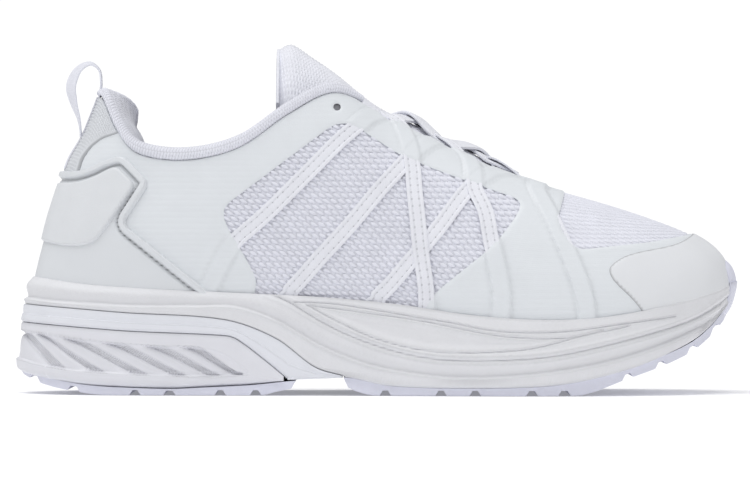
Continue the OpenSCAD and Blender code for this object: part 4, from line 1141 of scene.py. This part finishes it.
CLIP = rounded([[17.3, 88.7], [25.1, 88.7], [31.5, 90.4], [37.6, 93.6], [45, 95.4], [55.6, 84.3],
                [45.2, 68], [79, 41.2], [84, 36], [-30, 36], [-30, 88.7]], 3.2)
PAD = rounded([[16.3, 84.3], [26.8, 84], [33.5, 86], [40.3, 89.7], [43, 90.6], [50.4, 83.4], [43, 72.1],
               [34.5, 60.6], [26.8, 58.8], [20, 59.3], [10.9, 61.2], [-30, 62], [-30, 84.5]], 3.0)
BACKTAB = rounded([[-30, 86], [26.2, 86], [26.4, 88.7], [28.1, 94.4], [31.5, 99.1], [36.2, 102.5],
                   [42, 104.2], [50, 108], [44, 130], [-30, 130]], 2.0)


def heel_bulge(t, z):
    """How far the back of the heel stands out over the upper's surface at the top of the clip."""
    return 2.0 * bell(folded(t), 0.8) * (1 - step(z, 92, 106)) * step(z, 78, 88)


# Distances from the clip's edge: the inside of its rim and the end of the groove along it
RIM, GROOVE = 2.9, 3.7
CLIP_BODY = 1.15
HOLE_LINE, HOLE_PITCH, HOLES_TOP = 3.3, 1.7, 82


def clip_holes(t, v, p, d):
    """Stitch holes along the groove inside the rim."""
    z = p[..., 2]
    return bell(d - HOLE_LINE, 0.35) * step(ripple(z, HOLE_PITCH), 0.2, 0.7) * (z < HOLES_TOP)


# Stitch holes, and painted shade along the groove inside the rim.
def clip_mark(t, v, p, d):
    return np.maximum(clip_holes(t, v, p, d), 0.5 * bell(d - 3.2, 0.3))


def clip_outer(t, v, p, d):
    rim = 0.5 + 1.6 * step(d, 0, 0.9)
    height = np.where(d < (RIM + GROOVE) / 2, rim - 1.6 * step(d, RIM - 0.4, RIM + 0.3),
                      0.5 + (CLIP_BODY - 0.5) * step(d, GROOVE, GROOVE + 0.8))
    return height + heel_bulge(t, p[..., 2]) - 0.4 * clip_holes(t, v, p, d)


clip = patch("heel_clip_shell", clip_look, (-4.8, 4.8), (-0.25, 0.97), 0.45, on_side(CLIP), clip_outer,
             level(0.05), "clip_plastic", mark=clip_mark)
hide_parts("heel_clip")


PAD_PROUD = [[58, 1.0], [70, 1.7], [90, 2.2]]


def pad_outer(t, v, p, d):
    proud = curve(PAD_PROUD, p[..., 2])
    grow = np.sqrt(np.clip(1 - (1 - np.clip(d / 1.1, 0, 1))**2, 0, 1))
    return 1.2 + proud * grow


pad = patch("heel_pad_cover", pad_look, (-3.4, 3.4), (0.1, 0.95), 0.5, on_side(PAD), pad_outer,
            level(1.05), "clip_plastic")
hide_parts("heel_pad")


SQUARE_PITCH = 1.6


def grid_emboss(t, v, p, d):
    """Small raised squares inside a flat edge."""
    u, w = arc(t) * math.pi / SQUARE_PITCH, v * WALL_LENGTH * math.pi / SQUARE_PITCH
    squares = (np.sin(u) * np.sin(w))**2
    raised = 0.1 + 0.4 * step(d, 0, 0.6) + 0.3 * step(squares, 0.15, 0.6) * step(d, 0.8, 1.4)
    return raised + heel_bulge(t, p[..., 2])


backtab = patch("backtab_cover", backtab_look, (-2.7, 2.7), (0.5, 0.99), 0.4, on_side(BACKTAB),
                grid_emboss, level(-0.1), "backtab_weave", mark=edge_line(0.2, 0.8))
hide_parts("backtab")

# ---- pull tab

# Path of the loop as x, z, and its twist in degrees against the count of points
TAB_LOOP = [[26.4, 103.5], [26.2, 106], [25.4, 111], [23.4, 117.3], [22.4, 124.1], [25.2, 130.4],
            [30.0, 133], [33.8, 130.4], [34.6, 125.4], [34.2, 120.7], [33.6, 117.4], [34.5, 115]]
TAB_TWIST = [[0, 0.0], [2, 8], [4, 26], [5.5, 14], [7, 0], [11, 0]]
TAB_WIDTH, TAB_THICK = 9.4, 1.0


def loop_path(points, twist):
    """Centre line and facing of the twisted loop."""
    u = np.linspace(0, len(points) - 1, 240)
    flat = follow(points, u)
    centre = np.stack([flat[:, 0], 0 * u, flat[:, 1]], 1)
    along = unit(np.gradient(centre, axis=0))
    face = np.stack([-along[:, 2], 0 * u, along[:, 0]], 1)
    angle = np.radians(curve(twist, u))[:, None]
    side = np.cross(along, face)
    return centre, face * np.cos(angle) + side * np.sin(angle)


centre, face = loop_path(TAB_LOOP, TAB_TWIST)
tab, _ = woven_tape("pull_tab_loop", centre, face, TAB_WIDTH, TAB_THICK, tape_look, "tab_tape",
                    rib=0.8, deep=0.07, body=None)
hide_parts("pull_tab")
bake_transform(tab)


def heel_tape(t, v, p, d):
    ribs = 0.05 * ripple(v * WALL_LENGTH, 0.8)
    return 0.75 + 0.35 * step(d, 0, 0.5) + ribs + heel_bulge(t, p[..., 2])


strip = patch("pull_tab_strip", tape_look, (-0.7, 0.7), (0.575, 0.99), 0.35,
              lambda t, v, p: TAB_WIDTH / 2 - np.abs(p[..., 1]), heel_tape,
              lambda t, v, p, d: 0.3 + heel_bulge(t, p[..., 2]), "tab_tape",
              mark=edge_line(0.2, 0.6))
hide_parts("pull_tab_anchor")

# ---- collar

# Height of the roll over the upper's edge, and its padding's share of COLLAR_THICK, along t
ROLL = [[0, 3.0], [1, 4], [2, 5.2], [6, 5.4], [7.2, 4.8], [7.8, 3.6]]
PADDING = [[0, 1.7], [1, 2.0], [2, 1.9], [3, 1.4], [4, 0.95], [6, 0.66], [7.8, 0.5]]
COLLAR_THICK, COLLAR_DOWN, COLLAR_BACK = 9.0, -13.0, -1.95


def collar_section(t):
    """Outline of the collar as height over the upper's edge and distance out of its surface."""
    f = folded(t)
    h, p, q, low = curve(ROLL, f), COLLAR_THICK * curve(PADDING, f), COLLAR_BACK, COLLAR_DOWN
    one = 0 * f
    return np.stack([np.stack(np.broadcast_arrays(a, b), -1) for a, b in (
        (0.45 + one, 0.2), (h * 0.3, 1.2), (h * 0.65, 1.1), (h * 0.92, 0), (h, -1.5), (h * 0.96, -p * 0.42),
        (h * 0.7, -p * 0.68), (one, -p * 0.9), (one + low * 0.4, -p), (one + low * 0.75, -p * 0.94),
        (one + low, -p * 0.7), (one + low, q - 0.3), (one + low * 0.5, q), (one - 0.4, q),
        (one + 0.45, q * 0.8))], -2)


def collar_point(t, w, off):
    """Point at height w over the upper's edge; below the edge it follows the upper."""
    s = path_at(t)
    top, n = s[..., 2:5], plan_out(t)
    up = unit(-n * s[..., 7:8] + np.stack([-s[..., 9], 0 * t, s[..., 8]], -1))
    reach_down = 3 * np.linalg.norm(s[..., 7:10], axis=-1)
    above = top + up * w[..., None] + skin_out(t, 1.0 + 0 * t) * off[..., None]
    below = layer(t, np.minimum(1, 1 + w / reach_down), off)
    return np.where((w > 0)[..., None], above, below)


def closed_smooth(points, count):
    """Smooth closed outline through points on the second last axis."""
    n = points.shape[-2]
    u = np.linspace(0, n, count, endpoint=False)
    i = np.floor(u).astype(int)
    a, b, c, d = (points[..., (i + k) % n, :] for k in (-1, 0, 1, 2))
    return between(a, b, c, d, (u - i)[:, None])


TERRY_ROW, TERRY_PITCH = 2.8, 1.4


def terry(s, w):
    """Short upright loops of the collar's cloth, slanted, in staggered rows."""
    line = w / TERRY_ROW
    stagger = 0.5 * (np.floor(line) % 2)
    upright = 0.5 + 0.5 * np.cos(2 * math.pi * ((s - 0.35 * w) / TERRY_PITCH + stagger))
    return upright**0.7 * np.abs(np.sin(math.pi * line))**0.5


COLLAR_END = 7.7


def collar_rings(count, around):
    """Sections of the collar from one front end round the heel to the other."""
    t = np.linspace(COLLAR_END, -COLLAR_END, count)
    section = closed_smooth(collar_section(t), around)
    tt = np.repeat(t[:, None], around, 1)
    return t, collar_point(tt, section[..., 0], section[..., 1])


def normals_of(rings):
    a = np.gradient(rings, axis=0)
    b = np.roll(rings, -1, 1) - np.roll(rings, 1, 1)
    return unit(np.cross(b, a))


def swell(obj, keep, cap, pressure=4.0, frames=20):
    """Cloth simulation under pressure: how far each point of a padded piece moves, capped, in metres.

    keep is 1 for the points that are sewn down and 0 for the free ones."""
    rest = np.array([v.co for v in obj.data.vertices])
    group = obj.vertex_groups.new(name="sewn")
    group.add(np.flatnonzero(keep).tolist(), 1.0, "REPLACE")
    cloth = obj.modifiers.new("padding", "CLOTH")
    cloth.settings.use_pressure = True
    cloth.settings.uniform_pressure_force = pressure
    cloth.settings.effector_weights.gravity = 0
    cloth.settings.vertex_group_mass = "sewn"
    cloth.settings.quality = 5
    scene = bpy.context.scene
    for number in range(1, frames + 1):
        scene.frame_set(number)
    shown = obj.evaluated_get(bpy.context.evaluated_depsgraph_get())
    after = np.array([v.co for v in shown.data.vertices])
    obj.modifiers.remove(cloth)
    scene.frame_set(1)
    move = np.nan_to_num(after - rest)
    size = np.linalg.norm(move, axis=1, keepdims=True)
    return move * np.minimum(1, cap * MM / np.maximum(size, 1e-9)) / MM


def padded_shell(name, coarse, fine, fixed, material, slot, body, cap, fill, texture, uv, **values):
    """A padded tube: a cloth simulation on the coarse rings swells it, and the fine rings follow.

    coarse and fine are ring grids of the same shape in space; fixed marks the coarse points that
    are sewn down; texture is the height of the cloth's surface on the fine rings."""
    shift = np.zeros(coarse.shape)
    trial = loft(name + "_trial", coarse, material, slot, body=None)
    shift = swell(trial, fixed.ravel(), cap).reshape(coarse.shape)
    bpy.data.objects.remove(trial)
    n, m = fine.shape[:2]
    i = np.linspace(0, coarse.shape[0] - 1, n)
    along = np.stack([[np.interp(i, np.arange(coarse.shape[0]), shift[:, k, c]) for c in range(3)]
                      for k in range(coarse.shape[1])], 0)
    wrap = np.concatenate([along, along[:1]], 0)
    j = np.linspace(0, coarse.shape[1], m, endpoint=False)
    k = np.floor(j).astype(int)
    f = (j - k)[:, None, None]
    soft = (wrap[k] * (1 - f) + wrap[k + 1] * f).transpose(2, 0, 1)
    rings = fine + soft
    rings = rings + normals_of(rings) * texture[..., None]
    piece = loft(name, rings, material, slot, body, sharp=70, uv=uv, **values)
    return piece


COARSE_AROUND = 30
_, coarse = collar_rings(150, COARSE_AROUND)
ft, fine = collar_rings(900, 84)
# the stretch of the section that lies against the heel lining and on the shell's edge is sewn down
sewn_down = np.zeros(coarse.shape[:2])
section_part = np.arange(COARSE_AROUND) / 2.0
sewn_down[:, (section_part > 10) | (section_part < 1)] = 1
sewn_down[[0, 1, -2, -1]] = 1
run_round = arc(ft)[:, None]
run_across = np.concatenate([np.zeros((len(ft), 1)),
                             np.cumsum(np.linalg.norm(np.diff(fine, axis=1), axis=2), 1)], 1)
ends = step(COLLAR_END - np.abs(ft), 0.02, 0.3)[:, None]
collar_uv = paired(run_round, run_across)
loops = terry(run_round, run_across)
loops_up = 0.4 * loops * ends
# The collar is darkened between the terry loops: painted shade.
collar = padded_shell("padded_collar", coarse, fine, sewn_down, terry_look, "collar_knit", "shoe",
                      cap=1.0, fill=0.8, texture=loops_up, uv=collar_uv,
                      mark=(1 - step(loops, 0.05, 0.5)).ravel())
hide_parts("collar_pad")

# ---- tongue

# x, z of the ridge, half width, how far the edges hang down, thickness
TONGUE = [[107, 139, 20, 21, 7], [112, 140.6, 21, 21, 8], [120, 135.5, 21, 19, 8],
          [130, 128.6, 20.5, 17, 8], [146, 116, 20, 13.5, 6.5], [164, 107, 19, 11.5, 6],
          [183, 97.6, 17, 9.5, 5.6], [198, 89, 15, 8, 5],
          [206, 82.4, 13.5, 6, 3.2], [213, 77.4, 12, 4.5, 2.6]]


def tongue_rings(count, around):
    """Rings across the tongue: over its top from one edge to the other and back underneath."""
    u = np.linspace(0, len(TONGUE) - 1, count)
    r = follow(TONGUE, u)
    a = np.linspace(0, 2 * math.pi, around, endpoint=False)
    q, lift = squared(np.cos(a), 0.6), squared(np.sin(a), 0.7)
    x = np.repeat(r[:, 0:1], around, 1)
    y = MIDDLE + q[None, :] * r[:, 2:3]
    z = r[:, 1:2] - (q**2)[None, :] * r[:, 3:4] + (lift[None, :] - 1) * r[:, 4:5] / 2
    return u, q, lift, np.stack([x, y, z], -1)


_, _, tongue_lift, coarse = tongue_rings(56, 28)
tu, tq, fine_lift, fine = tongue_rings(300, 120)
sewn_down = np.zeros(coarse.shape[:2])
sewn_down[:, np.abs(tongue_lift) < 0.35] = 1
sewn_down[[0, 1]] = 1
sewn_down[-14:] = 1
run_along = distance_along(follow(TONGUE, tu)[:, :2])
across_mm = tq * TONGUE[0][2]
tongue_uv = paired(run_along[:, None], across_mm[None, :])
ridge = 0.13 * ripple(run_along[:, None] + 0.25 * across_mm[None, :], 1.5)
ridge = ridge * step(run_along, 0.5, 2)[:, None] * (np.abs(fine_lift) > 0.2)[None, :]
tongue = padded_shell("padded_tongue", coarse, fine, sewn_down, tongue_look, "tongue_knit", "tongue",
                      cap=0.7, fill=0.6, texture=ridge, uv=tongue_uv)
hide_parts("tongue")

bind_q = np.linspace(-0.985, 0.985, 90)
bind_r = np.array(TONGUE[0], float)
bind_path = np.stack([0 * bind_q + bind_r[0] - 0.6, MIDDLE + bind_q * bind_r[2],
                      bind_r[1] - bind_q**2 * bind_r[3] - bind_r[4] / 2], 1)
bind_face = np.tile([-1.0, 0, 0], (len(bind_q), 1))
binding, _ = woven_tape("tongue_edge_binding", bind_path, bind_face, bind_r[4] * 0.98, 1.5, binding_look,
                        "binding_tape", rib=0.8, deep=0.08, body="tongue")
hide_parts("tongue_binding")

# ---- inside the shoe


def floor_z(x):
    """Height of the foot bed."""
    return curve(FEATHER, x) - curve(BED_DEPTH, x)


def flat_ring(t, inset, rise):
    """Ring inside the edge of the foot bed, rise above it."""
    p = edge_at(t, 0 * t - inset, 0)
    return edge_at(t, 0 * t - inset, floor_z(p[..., 0]) + rise)


sock_t = np.linspace(0, AROUND, 400, endpoint=False)
SOCK_LOW, SOCK_TOP = 1.9, 6.4
sock_keys = [(8, SOCK_LOW), (6.9, SOCK_LOW + 0.5), (6.5, SOCK_LOW + 2), (6.4, SOCK_TOP + 0.6),
             (6.7, SOCK_TOP + 1.15), (7.6, SOCK_TOP + 1.0), (9.5, SOCK_TOP + 0.4), (13, SOCK_TOP)]
sock_rings = np.array([flat_ring(sock_t, inset, rise) for inset, rise in sock_keys])
sock_uv = sock_rings.reshape(-1, 3)[:, :2]
sock = stack("sockliner_cushion", sock_rings, True, sock_look, "sockliner_cloth", uv=sock_uv)
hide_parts("sockliner")

LINING_SIDE = 6.2
LINING_LOW, LINING_HIGH = 0.1, 0.66
LINING_OUT, LINING_IN = -3.8, -4.6


def lining_region(t, v, p):
    """Distance inside the edges of the heel lining."""
    rise = np.minimum(v - LINING_LOW, LINING_HIGH - v) * WALL_LENGTH
    heel = arc(0.0)
    return np.minimum(rise, arc(LINING_SIDE) - heel - np.abs(arc(t) - heel))


lining = patch("heel_lining_cloth", lining_look, (-6.4, 6.4), (0.07, 0.69), 1.2, lining_region,
               level(LINING_OUT), level(LINING_IN), "lining")
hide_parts("heel_lining")

# ---- toe bumper

BUMPER_SIDE = 0.42
BUMPER_THICK = [[0, 0.3], [0.25, 1.5], [0.6, 1.9], [0.85, 1.3], [1, 0.2]]
BUMPER_LOW, BUMPER_HIGH, BUMPER_FEATHER = 27.0, 61.5, 45.0
BUMPER_FOOT = [[BUMPER_LOW, -5.6], [34, -1.4], [41, 0.4], [BUMPER_FEATHER, 0.9]]
BUMPER_WALL = 90


def bumper_point(t, s, off):
    """Point over the toe tip: s runs from the tread up over the foam and on to the cap."""
    z = BUMPER_LOW + (BUMPER_HIGH - BUMPER_LOW) * s
    foam_part = edge_at(t, curve(BUMPER_FOOT, z) + off, z)
    v = np.clip((z - BUMPER_FEATHER) / BUMPER_WALL, 0, 1)
    upper_part = layer(t, v, off + 0.5)
    return np.where((z < BUMPER_FEATHER)[..., None], foam_part, upper_part)


bumper_side = np.linspace(-1, 1, 60)
bumper_t = TOE + BUMPER_SIDE * bumper_side
bumper_a = np.linspace(0, 2 * math.pi, 90, endpoint=False)
bumper_s = 0.5 - 0.5 * np.cos(bumper_a)
fade = np.sqrt(np.clip(1 - np.abs(bumper_side)**4, 0, 1))[:, None]
tt, ss = np.meshgrid(bumper_t, bumper_s, indexing="ij")
ss = 0.5 + (ss - 0.5) * (0.55 + 0.45 * fade)
outside = (np.sin(bumper_a) > 0)[None, :] * curve(BUMPER_THICK, bumper_s)[None, :] * (0.3 + 0.7 * fade)
bumper = loft("toe_bumper_cover", bumper_point(tt, ss, outside), rubber_look, "outsole_rubber", sharp=50)
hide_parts("toe_bumper")

# CAD nodes that keep their own shape get a material
KEPT = {"outsole_heel": rubber_look, "outsole_forefoot": rubber_look,
        "strobel_board": board_look, "toe_puff": stiff_look, "heel_counter": stiff_look,
        "aglet_lateral": aglet_look, "aglet_medial": aglet_look}
for node, material in KEPT.items():
    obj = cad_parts[node]
    for k in range(len(obj.material_slots)):
        obj.material_slots[k].material = material
    if not obj.material_slots:
        obj.data.materials.append(material)

# ---- floor and light

# Brightness of the backdrop as a light, and as the camera sees it
SKY_LIGHT, SKY_SEEN = 0.44, 1.05
FLOOR_GLOW = 0.14
FLOOR_SIZE, FLOOR_DROP = 40.0, 0.0002
world = bpy.data.worlds.new("studio")
bpy.context.scene.world = world
world.use_nodes = True
sky = world.node_tree
backdrop = sky.nodes["Background"]
backdrop.inputs["Color"].default_value = (1.0, 1.0, 1.0, 1)
seen = sky.nodes.new("ShaderNodeLightPath")
brightness = sky.nodes.new("ShaderNodeMapRange")
brightness.inputs["To Min"].default_value = SKY_LIGHT
brightness.inputs["To Max"].default_value = SKY_SEEN
sky.links.new(seen.outputs["Is Camera Ray"], brightness.inputs["Value"])
sky.links.new(brightness.outputs[0], backdrop.inputs["Strength"])

floor_look = look("floor", (0.93, 0.93, 0.935), 0.95, [(grain_pattern, 3, 0.02, False)], tint=0.01,
                  hollow_shade_share=0.0)
floor_shader = floor_look.node_tree.nodes["Principled BSDF"]
floor_shader.inputs["Emission Color"].default_value = (1.0, 1.0, 1.0, 1)
floor_shader.inputs["Emission Strength"].default_value = FLOOR_GLOW
floor_shader.inputs["Specular IOR Level"].default_value = 0.0
floor_mesh = bpy.data.meshes.new("floor")
corners = [(x * FLOOR_SIZE, y * FLOOR_SIZE, -FLOOR_DROP) for x, y in ((-1, -1), (1, -1), (1, 1), (-1, 1))]
floor_mesh.from_pydata(corners, [], [(0, 1, 2, 3)])
floor = new_object("floor", floor_mesh)
floor_mesh.materials.append(floor_look)


def soft_sun(name, aim, spread, power):
    """Even soft light along the direction aim."""
    data = bpy.data.lights.new(name, "SUN")
    data.angle = math.radians(spread)
    data.energy = power
    lamp = new_object(name, data)
    x, y, z = aim
    lamp.rotation_euler = (math.atan2(math.hypot(x, y), -z), 0, math.atan2(x, -y) + math.pi)


soft_sun("overhead", (0.2, 0.15, -1), 50, 1.85)
soft_sun("front", (-0.5, 1, -0.5), 50, 0.12)
bpy.context.scene.view_settings.view_transform = "Standard"
